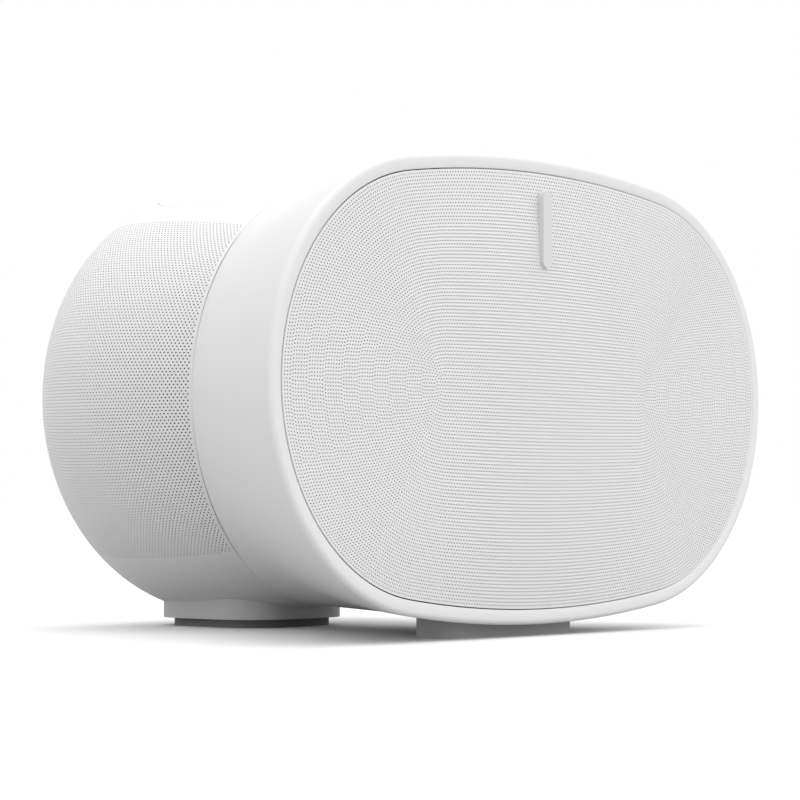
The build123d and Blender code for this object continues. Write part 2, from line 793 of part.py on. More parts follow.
def make_woofer_chassis():
    """Two plates that carry the woofers, tied together by four bars."""
    plate_x = woofer_seat_x - woofer_flange_thickness - chassis_plate / 2
    slabs = [Pos(side * plate_x, 0, centre_z) * Box(chassis_plate, 4 * body_depth, 4 * half_height)
             for side in (-1, 1)]
    plates = chassis_space() & (Part() + slabs)
    bore_radius = cone_radius + surround_width + basket_wall + 2 * fit
    plates -= Pos(0, woofer_y, centre_z) * Rot(0, 90, 0) * Cylinder(bore_radius, body_width)
    for side in (-1, 1):
        point, direction = woofer_place(side)
        for x, y in woofer_screw_places():
            hole = Pos(x, y, 0) * rod(screw_radius, -woofer_flange_thickness - chassis_plate, 0)
            plates -= place_on_axis(hole, point, direction)
    bar_rise = math.sqrt((woofer_flange_radius + bar_clearance) ** 2 - bar_reach ** 2)
    bars = []
    for y_step in (-bar_reach, bar_reach):
        for z_side in (-1, 1):
            place = Pos(0, woofer_y + y_step, centre_z + z_side * bar_rise)
            bars.append(place * Rot(0, 90, 0) * Cylinder(bar_radius, 2 * plate_x))
    return plates + bars


def chip(x, z, width, height, thickness, face_y):
    """Component on the front face of a standing board."""
    return Pos(x, face_y - thickness / 2, centre_z + z) * Box(width, thickness, height)


def make_main_board():
    """Processor board with its shielded chips and sockets."""
    pieces = standing_board(main_board_size, main_board_y, 0)
    for x, z in main_board_posts():
        pieces -= cross_rod(screw_radius + fit, x, z, main_board_y, main_board_y + board)
    for x, z, width, height, thickness in shield_layout:
        pieces += chip(x, z, width, height, thickness, main_board_y)
    return pieces


def make_amp_board():
    """Amplifier board with its coils and capacitors."""
    pieces = standing_board(amp_board_size, amp_board_y, -amp_board_drop)
    for x, z in amp_board_posts():
        pieces -= cross_rod(screw_radius + fit, x, z, amp_board_y, amp_board_y + board)
    coil_z = centre_z - amp_board_drop - amp_coil_drop
    chip_rise = amp_chip_rise - amp_board_drop
    for index in range(amp_channels):
        x = amp_channel_pitch * (index - (amp_channels - 1) / 2)
        pieces += cross_rod(amp_coil_radius, x, coil_z, amp_board_y - amp_coil_height, amp_board_y)
        pieces += chip(x, chip_rise, amp_chip_size, amp_chip_size, amp_chip_thickness, amp_board_y)
    return pieces


def make_heat_sink():
    """Finned aluminium block behind the amplifier chips."""
    width, height, depth = heat_sink_size
    base_y = amp_board_y + board + heat_sink_base / 2
    level = centre_z - amp_board_drop
    sink = Pos(0, base_y, level) * Box(width, heat_sink_base, height)
    pitch = (width - 2 * heat_sink_fin) / (heat_sink_fins - 1)
    for index in range(heat_sink_fins):
        x = pitch * (index - (heat_sink_fins - 1) / 2)
        sink += Pos(x, base_y + depth / 2, level) * Box(heat_sink_fin, depth - heat_sink_base, height)
    return sink


def make_power_board():
    """Mains supply board in the bottom of the drum."""
    width, depth = power_board_size
    side_share = width / 2 / (drum_half_width - wall)
    side_rise = half_height * (1 - math.sqrt(1 - side_share ** 2))
    back_rise = back_drop(woofer_y + depth / 2)
    level = casing_bottom + wall + side_rise + back_rise + board / 2 + power_board_gap
    slab = Pos(0, woofer_y, level) * Box(width, depth, board)
    on_top = level + board / 2
    base = (Align.CENTER, Align.CENTER, Align.MIN)
    slab += Pos(-width / 5, woofer_y - depth / 7, on_top) * Box(*transformer_size, align=base)
    slab += Pos(width / 4, woofer_y - depth / 4, on_top) * Box(*filter_size, align=base)
    for step in (-1, 0, 1):
        place = Pos(step * capacitor_pitch, woofer_y + capacitor_pitch, on_top)
        slab += place * Cylinder(capacitor_radius, capacitor_height, align=base)
    return slab


def make_touch_board():
    """Sensor board just under the control panel."""
    width, depth = touch_board_size
    return Pos(0, touch_y, touch_board_z) * Box(width, depth, board)


def make_microphones():
    """Four microphone capsules on the sensor board."""
    level = touch_board_z + (board + microphone_size[2]) / 2
    corners = [(x, y) for x in (-microphone_x, microphone_x) for y in (-microphone_y, microphone_y)]
    return Part() + [Pos(x, touch_y + y, level) * Box(*microphone_size) for x, y in corners]


def make_antennas():
    """Three flat radio aerials on the inside of the front body."""
    upright = Box(aerial_thickness, *aerial_size)
    side_y = main_board_y - aerial_setback
    pieces = [Pos(side * aerial_x, side_y, centre_z + aerial_rise) * upright for side in (-1, 1)]
    top_place = Pos(0, main_board_y - top_aerial_setback, centre_z + top_aerial_rise)
    return Part() + pieces + [top_place * Box(*top_aerial_size, aerial_thickness)]


def make_power_inlet():
    """Two-pin mains inlet, open to the back."""
    z = centre_z + inlet_z_from_middle
    flange = cross_plane(back_y - wall, z) * RectangleRounded(inlet_width + 6, inlet_height + 6, 3)
    neck = cross_plane(back_y - 0.5, z) * SlotOverall(inlet_width - 2 * fit, inlet_height - 2 * fit)
    mouth = cross_plane(back_y, z) * SlotOverall(inlet_width - 2 * inlet_wall, inlet_height - 2 * inlet_wall)
    body = extrude(flange, amount=inlet_depth) + extrude(neck, amount=inlet_depth)
    body -= extrude(mouth, amount=inlet_depth - 2)
    for side in (-1, 1):
        pin = cross_plane(back_y - 4, z) * Pos(side * inlet_pin_pitch / 2, 0) * Circle(inlet_pin_radius)
        body += extrude(pin, amount=inlet_depth - 5)
    return body


def make_line_in_port():
    """Small oval data and line-in socket."""
    z = centre_z + port_z_from_middle
    shell = cross_plane(back_y - 0.4, z) * SlotOverall(port_width - 2 * fit, port_height - 2 * fit)
    hollow = cross_plane(back_y, z) * SlotOverall(port_width - 1.2, port_height - 1.2)
    tongue = cross_plane(back_y - 1.2, z) * Rectangle(port_width - 3.4, 0.7)
    length = back_y - 0.4 - port_board_y
    return extrude(shell, amount=length) - extrude(hollow, amount=6.5) + extrude(tongue, amount=6)


def make_pairing_button():
    """Round push button on the back."""
    z = centre_z + button_z_from_middle
    face = cross_plane(back_y + button_rise, z) * Circle(button_radius)
    stem = extrude(face, amount=button_rise + wall + button_tail)
    collar_back = back_y - wall - 0.3
    collar = extrude(cross_plane(collar_back, z) * Circle(button_radius + 1.6), amount=1.2)
    button = stem + collar
    return fillet(button.faces().sort_by(Axis.Y)[-1].edges(), 0.4)


def make_mic_switch():
    """Slider that cuts the microphones off, at its left stop."""
    z = centre_z + switch_z_from_middle
    x = -switch_travel / 2
    grip_length = switch_rise + wall
    grip = Pos(x, back_y + switch_rise - grip_length / 2, z) * Box(switch_width, grip_length, switch_height)
    foot_y = back_y - wall - 0.3 - 0.6
    foot = Pos(x, foot_y, z) * Box(switch_width + 4, 1.2, switch_height + 3)
    neck = Pos(x, back_y - wall - 0.15, z) * Box(switch_width, 0.4, switch_height)
    return grip + neck + foot


def make_port_board():
    """Board behind the back panel that carries the sockets and switches."""
    width, height = port_board_size
    middle = centre_z + (button_z_from_middle + port_z_from_middle) / 2
    plate = Pos(0, port_board_y - board / 2, middle) * Box(width, board, height)
    push_depth = back_y - wall - button_tail - button_travel - fit - port_board_y
    push_place = Pos(0, port_board_y + push_depth / 2, centre_z + button_z_from_middle)
    push_body = push_place * Box(switch_body, push_depth, switch_body)
    slide_place = Pos(0, port_board_y + button_tail, centre_z + switch_z_from_middle)
    slide_body = slide_place * Box(switch_width + switch_travel, 2 * button_tail, switch_body)
    return plate + push_body + slide_body


def lead_holes():
    """Where the two woofer leads pass through the bulkhead, as (x, z)."""
    return [(side * lead_hole_x, centre_z + half_height * lead_hole_share) for side in (-1, 1)]


def lead(points, bend):
    """Insulated lead along straight runs with rounded corners."""
    path = FilletPolyline(*points, radius=bend)
    start = Plane(origin=path @ 0, z_dir=path % 0)
    return sweep(start * Circle(lead_radius), path=path)


def make_speaker_leads():
    """Leads from the amplifier board to the two woofers and the two side tweeters."""
    leads = []
    for (x, z), side in zip(lead_holes(), (-1, 1)):
        start = (x, main_board_y - main_board_standoff, z)
        through = (x, waist_y + woofer_lead_bend, z)
        end = (side * woofer_lead_x, waist_y + woofer_lead_reach, z - tweeter_lead_bend)
        leads.append(lead([start, through, end], woofer_lead_bend))
    for side in (-1, 1):
        (x, y, z), (dx, dy, dz) = horn_place("left" if side < 0 else "right")
        reach = tweeter_depth + fit
        back = (x - dx * reach, y - dy * reach, z)
        behind = (back[0] - dx * tweeter_lead_length, back[1] - dy * tweeter_lead_length, z)
        end = (side * tweeter_lead_x, amp_board_y + tweeter_lead_bend, z - tweeter_lead_drop)
        leads.append(lead([back, behind, end], tweeter_lead_bend))
    return Part() + leads


# ================================================================ fasteners
def make_screws():
    """All the identical screws: woofers to chassis, boards to posts, baffle to bosses."""
    screws = []
    for side in (-1, 1):
        point, direction = woofer_place(side)
        for x, y in woofer_screw_places():
            screws.append(place_on_axis(Pos(x, y, 0) * screw(), point, direction))
    seats = (
        (main_board_posts(), main_board_y),
        (amp_board_posts(), amp_board_y),
        (baffle_bosses(), baffle_y),
    )
    for places, seat_y in seats:
        for x, z in places:
            screws.append(place_on_axis(screw(), (x, seat_y, z), (0, -1, 0)))
    return Part() + screws


# ================================================================ build and write
nodes = {
    "front_shell": make_front_shell(),
    "front_grille": make_front_grille(),
    "front_dust_mesh": make_front_dust_mesh(),
    "grille_carrier": make_grille_carrier(),
    "badge": make_badge(),
    "rear_shell": make_rear_shell(),
    "touch_panel": make_touch_panel(),
    "status_lens": make_status_lens(),
    "back_panel": make_back_panel(),
    "plinth": make_plinth(),
    "rear_foot": make_rear_foot(),
    "front_foot": make_front_foot(),
    "stand_insert": make_stand_insert(),
    "front_baffle": make_baffle(),
    "bulkhead": make_bulkhead(),
    "waist_gasket": make_waist_gasket(),
    "woofer_chassis": make_woofer_chassis(),
    "main_board": make_main_board(),
    "amplifier_board": make_amp_board(),
    "heat_sink": make_heat_sink(),
    "power_supply": make_power_board(),
    "touch_board": make_touch_board(),
    "microphones": make_microphones(),
    "antennas": make_antennas(),
    "power_inlet": make_power_inlet(),
    "line_in_port": make_line_in_port(),
    "pairing_button": make_pairing_button(),
    "mic_switch": make_mic_switch(),
    "port_board": make_port_board(),
    "screws": make_screws(),
    "speaker_leads": make_speaker_leads(),
    "side_dust_meshes": make_side_dust_mesh(-1) + make_side_dust_mesh(1),
}
for side_name, side in (("left", -1), ("right", 1)):
    nodes[side_name + "_side_grille"] = make_side_grille(side)
    point, direction = woofer_place(side)
    for piece_name, piece in (
        ("basket", make_woofer_basket()), ("magnet", make_woofer_magnet()), ("cone", make_woofer_cone()),
        ("dust_cap", make_woofer_dust_cap()), ("voice_coil", make_woofer_coil()),
        ("surround", make_woofer_surround()), ("spider", make_woofer_spider()),
    ):
        nodes[f"{side_name}_woofer_{piece_name}"] = place_on_axis(piece, point, direction)
for horn_name in ("front", "left", "right", "top"):
    mouth = top_horn_mouth if horn_name == "top" else horn_mouth
    point, direction = horn_place(horn_name)
    nodes[horn_name + "_tweeter_motor"] = place_on_axis(make_tweeter_motor(), point, direction)
    nodes[horn_name + "_tweeter_dome"] = place_on_axis(make_tweeter_dome(), point, direction)
    nodes[horn_name + "_tweeter_horn"] = place_on_axis(make_horn(mouth), point, direction)

for name, shape in nodes.items():
    export_step(shape, f"parts/{name}.step")
    print(name, len(shape.solids()), round(shape.volume, 1))
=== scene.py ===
import json
import logging
import math
from dataclasses import dataclass, field
from enum import Enum
from typing import Sequence

import bpy
import numpy as np
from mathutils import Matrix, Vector


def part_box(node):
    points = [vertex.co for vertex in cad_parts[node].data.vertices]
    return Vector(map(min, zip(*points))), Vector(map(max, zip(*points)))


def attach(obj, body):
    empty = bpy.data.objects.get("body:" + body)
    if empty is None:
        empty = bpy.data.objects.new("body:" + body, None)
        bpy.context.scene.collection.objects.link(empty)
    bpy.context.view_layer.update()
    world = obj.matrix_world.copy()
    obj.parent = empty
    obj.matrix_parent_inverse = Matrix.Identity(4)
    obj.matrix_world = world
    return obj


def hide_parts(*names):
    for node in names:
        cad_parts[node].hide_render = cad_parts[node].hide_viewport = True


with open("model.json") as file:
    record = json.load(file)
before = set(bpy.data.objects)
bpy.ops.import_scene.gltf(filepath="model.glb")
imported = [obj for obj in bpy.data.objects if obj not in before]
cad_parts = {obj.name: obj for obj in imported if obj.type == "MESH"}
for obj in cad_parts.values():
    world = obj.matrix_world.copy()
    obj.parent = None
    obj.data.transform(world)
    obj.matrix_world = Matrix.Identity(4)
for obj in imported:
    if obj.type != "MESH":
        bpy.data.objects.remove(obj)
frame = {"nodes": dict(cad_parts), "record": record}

LOG = logging.getLogger("speaker")
MM = 0.001                      # millimetres to metres
TINY = 1e-9                     # moves a point off the exact middle before its direction is taken
HALVINGS = 40                   # steps of a search by halves
WELD_DISTANCE = 0.000002        # metres, between points that are one
CLOUD_SCALE = 14.0              # slow change of tone over a surface
BRUSH_STRETCH = (0.04, 1.0, 1.0)
TRACK_SHARE = 0.06              # half width of a line between the fields of a board


# ============================================================ outlines and meshes
@dataclass(frozen=True)
class Oval:
    """Closed outline of four tangent arcs, in millimetres."""

    half_width: float
    half_height: float
    end_radius: float

    @property
    def end_x(self) -> float:
        """Distance of an end arc's centre from the middle."""
        return self.half_width - self.end_radius

    @property
    def top_radius(self) -> float:
        """Radius of the top and bottom arcs."""
        rise = self.half_height ** 2 + self.end_x ** 2 - self.end_radius ** 2
        return rise / (2 * (self.half_height - self.end_radius))

    @property
    def join(self) -> tuple[float, float]:
        """Point where the right end arc meets the top arc."""
        big = self.top_radius
        x = big * self.end_x / (big - self.end_radius)
        z = (self.half_height - big) + big * (big - self.half_height) / (big - self.end_radius)
        return x, z

    def reach(self, angle: np.ndarray) -> np.ndarray:
        """Distance from the middle to the outline along each angle.

        Args:
            angle: directions in radians, measured from +X.

        Returns:
            The distances in millimetres.
        """
        cos, sin = np.abs(np.cos(angle)), np.abs(np.sin(angle))
        join_x, join_z = self.join
        low = self.half_height - self.top_radius
        end = self.end_x * cos + np.sqrt(np.maximum(self.end_radius ** 2 - (self.end_x * sin) ** 2, 0))
        top = low * sin + np.sqrt(np.maximum(self.top_radius ** 2 - (low * cos) ** 2, 0))
        return np.where(np.arctan2(sin, cos) < math.atan2(join_z, join_x), end, top)

    def outline(self, per_arc: int) -> np.ndarray:
        """Points round the outline, anticlockwise from the lower right joint.

        Args:
            per_arc: number of points on each of the four arcs.

        Returns:
            An array of (x, z) points.
        """
        join_x, join_z = self.join
        low = self.half_height - self.top_radius
        end_sweep = math.atan2(join_z, join_x - self.end_x)
        top_start = math.atan2(join_z - low, join_x)
        step = np.arange(per_arc) / per_arc
        right = -end_sweep + 2 * end_sweep * step
        top = top_start + (math.pi - 2 * top_start) * step
        end_arc = np.stack([self.end_x + self.end_radius * np.cos(right), self.end_radius * np.sin(right)], 1)
        top_arc = np.stack([self.top_radius * np.cos(top), low + self.top_radius * np.sin(top)], 1)
        return np.concatenate([end_arc, top_arc, -end_arc, -top_arc])


def ring_oval(half_width: float, half_height: float) -> Oval:
    """Four-arc outline that looks like an ellipse."""
    end = 0.75 * half_height ** 2 / half_width + 0.25 * math.sqrt(half_width * half_height)
    return Oval(half_width, half_height, end)


def make_object(name: str, points: np.ndarray, faces: Sequence[Sequence[int]],
                smooth: bool = True) -> bpy.types.Object:
    """Mesh object at the origin from points in millimetres.

    Args:
        name: the piece's name.
        points: array of (x, y, z) in millimetres.
        faces: lists of point numbers, anticlockwise from outside.
        smooth: True for smooth shading.

    Returns:
        The new object, linked to the scene.
    """
    mesh = bpy.data.meshes.new(name)
    mesh.from_pydata((np.asarray(points) * MM).tolist(), [], [list(f) for f in faces])
    mesh.validate()
    mesh.polygons.foreach_set("use_smooth", [smooth] * len(mesh.polygons))
    piece = bpy.data.objects.new(name, mesh)
    bpy.context.scene.collection.objects.link(piece)
    return piece


def grid_faces(rows: int, columns: int, close_rows: bool = False,
               close_columns: bool = False) -> list[tuple[int, ...]]:
    """Quads of a grid of points stored row by row.

    Args:
        rows: number of rows.
        columns: number of points in a row.
        close_rows: join the last row to the first.
        close_columns: join the last column to the first.

    Returns:
        One tuple of four point numbers for each quad.
    """
    faces = []
    for row in range(rows if close_rows else rows - 1):
        here, there = row * columns, (row + 1) % rows * columns
        for column in range(columns if close_columns else columns - 1):
            side = (column + 1) % columns
            faces.append((here + column, here + side, there + side, there + column))
    return faces


def strip_faces(below: Sequence[tuple[float, int]],
                above: Sequence[tuple[float, int]]) -> list[tuple[int, int, int]]:
    """Triangles between two neighbouring rows that may differ in length.

    Args:
        below: place and point number of each point of the first row, in rising order.
        above: the same for the next row.

    Returns:
        Triangles as point numbers.
    """
    faces: list[tuple[int, int, int]] = []
    i, j = 0, 0
    while i < len(below) - 1 or j < len(above) - 1:
        lower_next = below[i + 1][0] if i < len(below) - 1 else math.inf
        upper_next = above[j + 1][0] if j < len(above) - 1 else math.inf
        if lower_next <= upper_next:
            faces.append((below[i][1], below[i + 1][1], above[j][1]))
            i += 1
        else:
            faces.append((below[i][1], above[j + 1][1], above[j][1]))
            j += 1
    return [face for face in faces if len(set(face)) == 3]


@dataclass
class Net:
    """Triangle net whose marked points become holes. Points in millimetres."""

    points: list[tuple[float, float, float]] = field(default_factory=list)
    holes: list[bool] = field(default_factory=list)
    zones: list[int] = field(default_factory=list)
    rows: list[list[tuple[float, int]]] = field(default_factory=list)

    def add_row(self, places: np.ndarray, points: np.ndarray, holes: np.ndarray, zones: np.ndarray) -> None:
        """Add one row of points with their places along the row."""
        first = len(self.points)
        self.points += [tuple(point) for point in points]
        self.holes += [bool(hole) for hole in holes]
        self.zones += [int(zone) for zone in zones]
        self.rows.append([(float(place), first + k) for k, place in enumerate(places)])

    def faces(self, outward: np.ndarray, period: float = 0.0) -> list[tuple[int, int, int]]:
        """Triangles of the whole net.

        Args:
            outward: a direction that the faces should point to.
            period: length of a closed row, or 0 for open rows.

        Returns:
            Triangles as point numbers.
        """
        faces = []
        for below, above in zip(self.rows, self.rows[1:]):
            if period:
                below = below + [(below[0][0] + period, below[0][1])]
                above = above + [(above[0][0] + period, above[0][1])]
            faces += strip_faces(below, above)
        points = np.array(self.points)
        corners = points[np.array(faces)]
        normals = np.cross(corners[:, 1] - corners[:, 0], corners[:, 2] - corners[:, 0])
        if (normals @ outward).sum() < 0:
            faces = [face[::-1] for face in faces]
        return faces


def replace_object(old: bpy.types.Object, name: str) -> bpy.types.Object:
    """Plain mesh copy of an object with its modifiers applied; the old one is removed."""
    graph = bpy.context.evaluated_depsgraph_get()
    mesh = bpy.data.meshes.new_from_object(old.evaluated_get(graph))
    bpy.data.objects.remove(old)
    mesh.name = name
    piece = bpy.data.objects.new(name, mesh)
    bpy.context.scene.collection.objects.link(piece)
    return piece


def dress(piece: bpy.types.Object, material: bpy.types.Material) -> None:
    """Give a piece one material in every slot."""
    if not piece.data.materials:
        piece.data.materials.append(material)
    for slot in piece.material_slots:
        slot.material = material


# ============================================================ shader groups and finishes
class Pattern(Enum):
    """Kinds of surface relief."""

    GRAIN = "grain"
    WEAVE = "weave"
    BRUSHED = "brushed"
    BOARD = "board"


def new_group(name: str, inputs: dict[str, float], outputs: Sequence[str]) -> bpy.types.NodeTree:
    """Empty shader group with number inputs and outputs.

    Args:
        name: the group's name.
        inputs: input names with their default values.
        outputs: output names.

    Returns:
        The node tree, with its input node named "in" and its output node named "out".
    """
    tree = bpy.data.node_groups.new(name, "ShaderNodeTree")
    for label, value in inputs.items():
        socket = tree.interface.new_socket(label, in_out="INPUT", socket_type="NodeSocketFloat")
        socket.default_value = value
    for label in outputs:
        tree.interface.new_socket(label, in_out="OUTPUT", socket_type="NodeSocketFloat")
    tree.nodes.new("NodeGroupInput").name = "in"
    tree.nodes.new("NodeGroupOutput").name = "out"
    return tree


def add(tree: bpy.types.NodeTree, kind: str, **settings: object) -> bpy.types.Node:
    """New node with its settings."""
    node = tree.nodes.new(kind)
    for key, value in settings.items():
        setattr(node, key, value)
    return node


def grey(level: float) -> tuple[float, float, float, float]:
    """Opaque grey of one level."""
    return level, level, level, 1.0


def math_node(tree: bpy.types.NodeTree, operation: str, first: object,
              second: object) -> bpy.types.NodeSocket:
    """Math node fed by sockets or numbers.

    Args:
        tree: where the node goes.
        operation: Blender's name of the operation.
        first: a socket or a number.
        second: a socket or a number.

    Returns:
        The node's output.
    """
    node = add(tree, "ShaderNodeMath", operation=operation)
    for socket, value in zip(node.inputs, (first, second)):
        if isinstance(value, bpy.types.NodeSocket):
            tree.links.new(value, socket)
        else:
            socket.default_value = value
    return node.outputs[0]


def relief_group(pattern: Pattern) -> bpy.types.NodeTree:
    """Shared group that turns position into height and tone for one kind of surface.

    Args:
        pattern: the kind of relief.

    Returns:
        The group, with inputs Scale and Detail and outputs Height and Tone.
    """
    name = "relief_" + pattern.value
    if name in bpy.data.node_groups:
        return bpy.data.node_groups[name]
    tree = new_group(name, {"Scale": 1000.0, "Detail": 3.0}, ("Height", "Tone"))
    gate, out = tree.nodes["in"], tree.nodes["out"]
    place = add(tree, "ShaderNodeTexCoord").outputs["Object"]
    if pattern is Pattern.BRUSHED:
        stretch = add(tree, "ShaderNodeMapping")
        stretch.inputs["Scale"].default_value = BRUSH_STRETCH
        tree.links.new(place, stretch.inputs["Vector"])
        place = stretch.outputs[0]
    noise = add(tree, "ShaderNodeTexNoise")
    tree.links.new(place, noise.inputs["Vector"])
    tree.links.new(gate.outputs["Scale"], noise.inputs["Scale"])
    tree.links.new(gate.outputs["Detail"], noise.inputs["Detail"])
    cloud = add(tree, "ShaderNodeTexNoise")
    cloud.inputs["Scale"].default_value = CLOUD_SCALE
    tree.links.new(place, cloud.inputs["Vector"])
    height, tone = noise.outputs[0], cloud.outputs[0]
    if pattern is Pattern.WEAVE:
        waves = []
        for direction in ("X", "Z"):
            wave = add(tree, "ShaderNodeTexWave", bands_direction=direction)
            tree.links.new(place, wave.inputs["Vector"])
            tree.links.new(gate.outputs["Scale"], wave.inputs["Scale"])
            waves.append(wave.outputs["Fac"])
        height = math_node(tree, "MULTIPLY", waves[0], waves[1])
        tone = math_node(tree, "MULTIPLY", height, cloud.outputs[0])
    if pattern is Pattern.BOARD:
        cells = add(tree, "ShaderNodeTexVoronoi", distance="CHEBYCHEV", feature="DISTANCE_TO_EDGE")
        tree.links.new(place, cells.inputs["Vector"])
        tree.links.new(gate.outputs["Scale"], cells.inputs["Scale"])
        height = math_node(tree, "LESS_THAN", cells.outputs["Distance"], TRACK_SHARE)
        tone = height
    tree.links.new(height, out.inputs["Height"])
    tree.links.new(tone, out.inputs["Tone"])
    return tree


@dataclass(frozen=True)
class Finish:
    """Procedural surface: colour, gloss and relief, with plain numbers on the shader's own sockets."""

    name: str
    colour: tuple[float, float, float]
    second: tuple[float, float, float]
    roughness: float = 0.5
    roughness_spread: float = 0.08
    metallic: float = 0.0
    pattern: Pattern = Pattern.GRAIN
    scale: float = 1500.0
    bump: float = 0.1
    bump_depth: float = 0.00005
    coat: float = 0.0
    sheen: float = 0.0
    glass: float = 0.0

    def material(self) -> bpy.types.Material:
        """Build the finish once and return its material."""
        if self.name in bpy.data.materials:
            return bpy.data.materials[self.name]
        material = bpy.data.materials.new(self.name)
        material.use_nodes = True
        tree = material.node_tree
        shader = tree.nodes["Principled BSDF"]
        relief = add(tree, "ShaderNodeGroup", node_tree=relief_group(self.pattern))
        relief.inputs["Scale"].default_value = self.scale
        mix = add(tree, "ShaderNodeMix", data_type="RGBA")
        mix.inputs["A"].default_value = (*self.colour, 1)
        mix.inputs["B"].default_value = (*self.second, 1)
        tree.links.new(relief.outputs["Tone"], mix.inputs["Factor"])
        tree.links.new(mix.outputs["Result"], shader.inputs["Base Color"])
        spread = add(tree, "ShaderNodeMapRange")
        spread.inputs["To Min"].default_value = self.roughness - self.roughness_spread
        spread.inputs["To Max"].default_value = self.roughness + self.roughness_spread
        tree.links.new(relief.outputs["Height"], spread.inputs["Value"])
        tree.links.new(spread.outputs["Result"], shader.inputs["Roughness"])
        bump = add(tree, "ShaderNodeBump")
        bump.inputs["Strength"].default_value = self.bump
        bump.inputs["Distance"].default_value = self.bump_depth
        tree.links.new(relief.outputs["Height"], bump.inputs["Height"])
        tree.links.new(bump.outputs["Normal"], shader.inputs["Normal"])
        shader.inputs["Metallic"].default_value = self.metallic
        shader.inputs["Coat Weight"].default_value = self.coat
        shader.inputs["Sheen Weight"].default_value = self.sheen
        shader.inputs["Transmission Weight"].default_value = self.glass
        return material


WHITE_SHELL = Finish("white_shell", (0.80, 0.80, 0.80), (0.83, 0.83, 0.83), 0.55, 0.05, scale=2600,
                     bump=0.12)
WHITE_GRILLE = Finish("white_grille_paint", (0.80, 0.80, 0.80), (0.83, 0.83, 0.83), 0.6, 0.05,
                      scale=3000, bump=0.1)
WHITE_TOUCH = Finish("touch_surface", (0.81, 0.81, 0.81), (0.84, 0.84, 0.84), 0.38, 0.04, scale=4000,
                     bump=0.05)
BADGE_WHITE = Finish("badge_enamel", (0.70, 0.70, 0.71), (0.74, 0.74, 0.75), 0.3, 0.04, scale=3000,
                     bump=0.05, coat=0.3)
DUST_MESH = Finish("dust_mesh_cloth", (0.05, 0.05, 0.05), (0.16, 0.16, 0.16), 0.9, 0.05,
                   pattern=Pattern.WEAVE,
                   scale=900, bump=0.5, sheen=0.2)

FINISHES: dict[str, Finish] = {
    "white_plastic": WHITE_SHELL,
    "white_grille": WHITE_GRILLE,
    "badge_white": BADGE_WHITE,
    "touch_white": WHITE_TOUCH,
    "back_white": Finish("back_panel_plastic", (0.77, 0.77, 0.77), (0.80, 0.80, 0.80), 0.5, 0.06,
                         scale=2200, bump=0.2),
    "plinth_grey": Finish("plinth_plastic", (0.55, 0.55, 0.55), (0.60, 0.60, 0.60), 0.6, 0.05,
                          scale=2000, bump=0.2),
    "foot_grey": Finish("front_foot_rubber", (0.48, 0.48, 0.48), (0.54, 0.54, 0.54), 0.8, 0.05,
                        scale=1800, bump=0.3),
    "foot_rubber": Finish("rear_foot_rubber", (0.20, 0.20, 0.20), (0.26, 0.26, 0.26), 0.85, 0.05,
                          scale=1600, bump=0.3),
    "grey_plastic": Finish("carrier_plastic", (0.50, 0.50, 0.50), (0.55, 0.55, 0.55), 0.6, 0.05,
                           scale=2000, bump=0.2),
    "dark_plastic": Finish("inner_plastic", (0.03, 0.03, 0.033), (0.05, 0.05, 0.053), 0.55, 0.08,
                           scale=1500, bump=0.3),
    "dust_mesh": DUST_MESH,
    "clear_lens": Finish("status_lens_clear", (0.92, 0.93, 0.94), (0.95, 0.95, 0.96), 0.12, 0.04,
                         scale=800, bump=0.02,
                         coat=0.5, glass=0.6),
    "brass": Finish("turned_brass", (0.72, 0.50, 0.22), (0.60, 0.40, 0.16), 0.3, 0.1, 1.0,
                    Pattern.BRUSHED, 1200, 0.2),
    "foam": Finish("gasket_foam", (0.05, 0.05, 0.05), (0.09, 0.09, 0.09), 0.95, 0.03, scale=1200, bump=0.8),
    "circuit_board": Finish("solder_mask", (0.012, 0.09, 0.04), (0.05, 0.22, 0.10), 0.35, 0.1,
                            pattern=Pattern.BOARD,
                            scale=220, bump=0.4, coat=0.3),
    "aluminium": Finish("extruded_aluminium", (0.66, 0.67, 0.69), (0.58, 0.59, 0.61), 0.35, 0.1, 1.0,
                        Pattern.BRUSHED,
                        900, 0.3),
    "steel": Finish("plated_steel", (0.52, 0.52, 0.53), (0.45, 0.45, 0.46), 0.3, 0.1, 1.0,
                    Pattern.BRUSHED, 1100, 0.2),
    "magnet": Finish("coated_magnet", (0.05, 0.05, 0.055), (0.09, 0.09, 0.095), 0.5, 0.12, 0.6,
                     scale=900, bump=0.4),
    "copper": Finish("enamelled_copper", (0.55, 0.22, 0.09), (0.68, 0.32, 0.14), 0.3, 0.08, 1.0,
                     Pattern.BRUSHED, 2400, 0.4),
    "cone_paper": Finish("pressed_paper", (0.03, 0.03, 0.032), (0.06, 0.06, 0.06), 0.85, 0.06, scale=700,
                         bump=0.6),
    "dome_silk": Finish("coated_silk", (0.03, 0.03, 0.035), (0.07, 0.07, 0.075), 0.7, 0.08,
                        pattern=Pattern.WEAVE,
                        scale=700, bump=0.4, sheen=0.3),
    "surround_rubber": Finish("roll_rubber", (0.02, 0.02, 0.02), (0.04, 0.04, 0.04), 0.55, 0.08,
                              scale=900, bump=0.3),
    "spider_fabric": Finish("treated_cloth", (0.45, 0.28, 0.10), (0.58, 0.38, 0.16), 0.8, 0.06,
                            pattern=Pattern.WEAVE,
                            scale=500, bump=0.7, sheen=0.2),
    "lead_rubber": Finish("lead_insulation", (0.32, 0.02, 0.02), (0.42, 0.04, 0.04), 0.45, 0.06,
                          scale=1200, bump=0.2),
    "socket_black": Finish("socket_plastic", (0.02, 0.02, 0.02), (0.04, 0.04, 0.04), 0.45, 0.06,
                           scale=1400, bump=0.2),
    "control_grey": Finish("control_plastic", (0.60, 0.60, 0.61), (0.66, 0.66, 0.67), 0.45, 0.05,
                           scale=2400, bump=0.15),
}


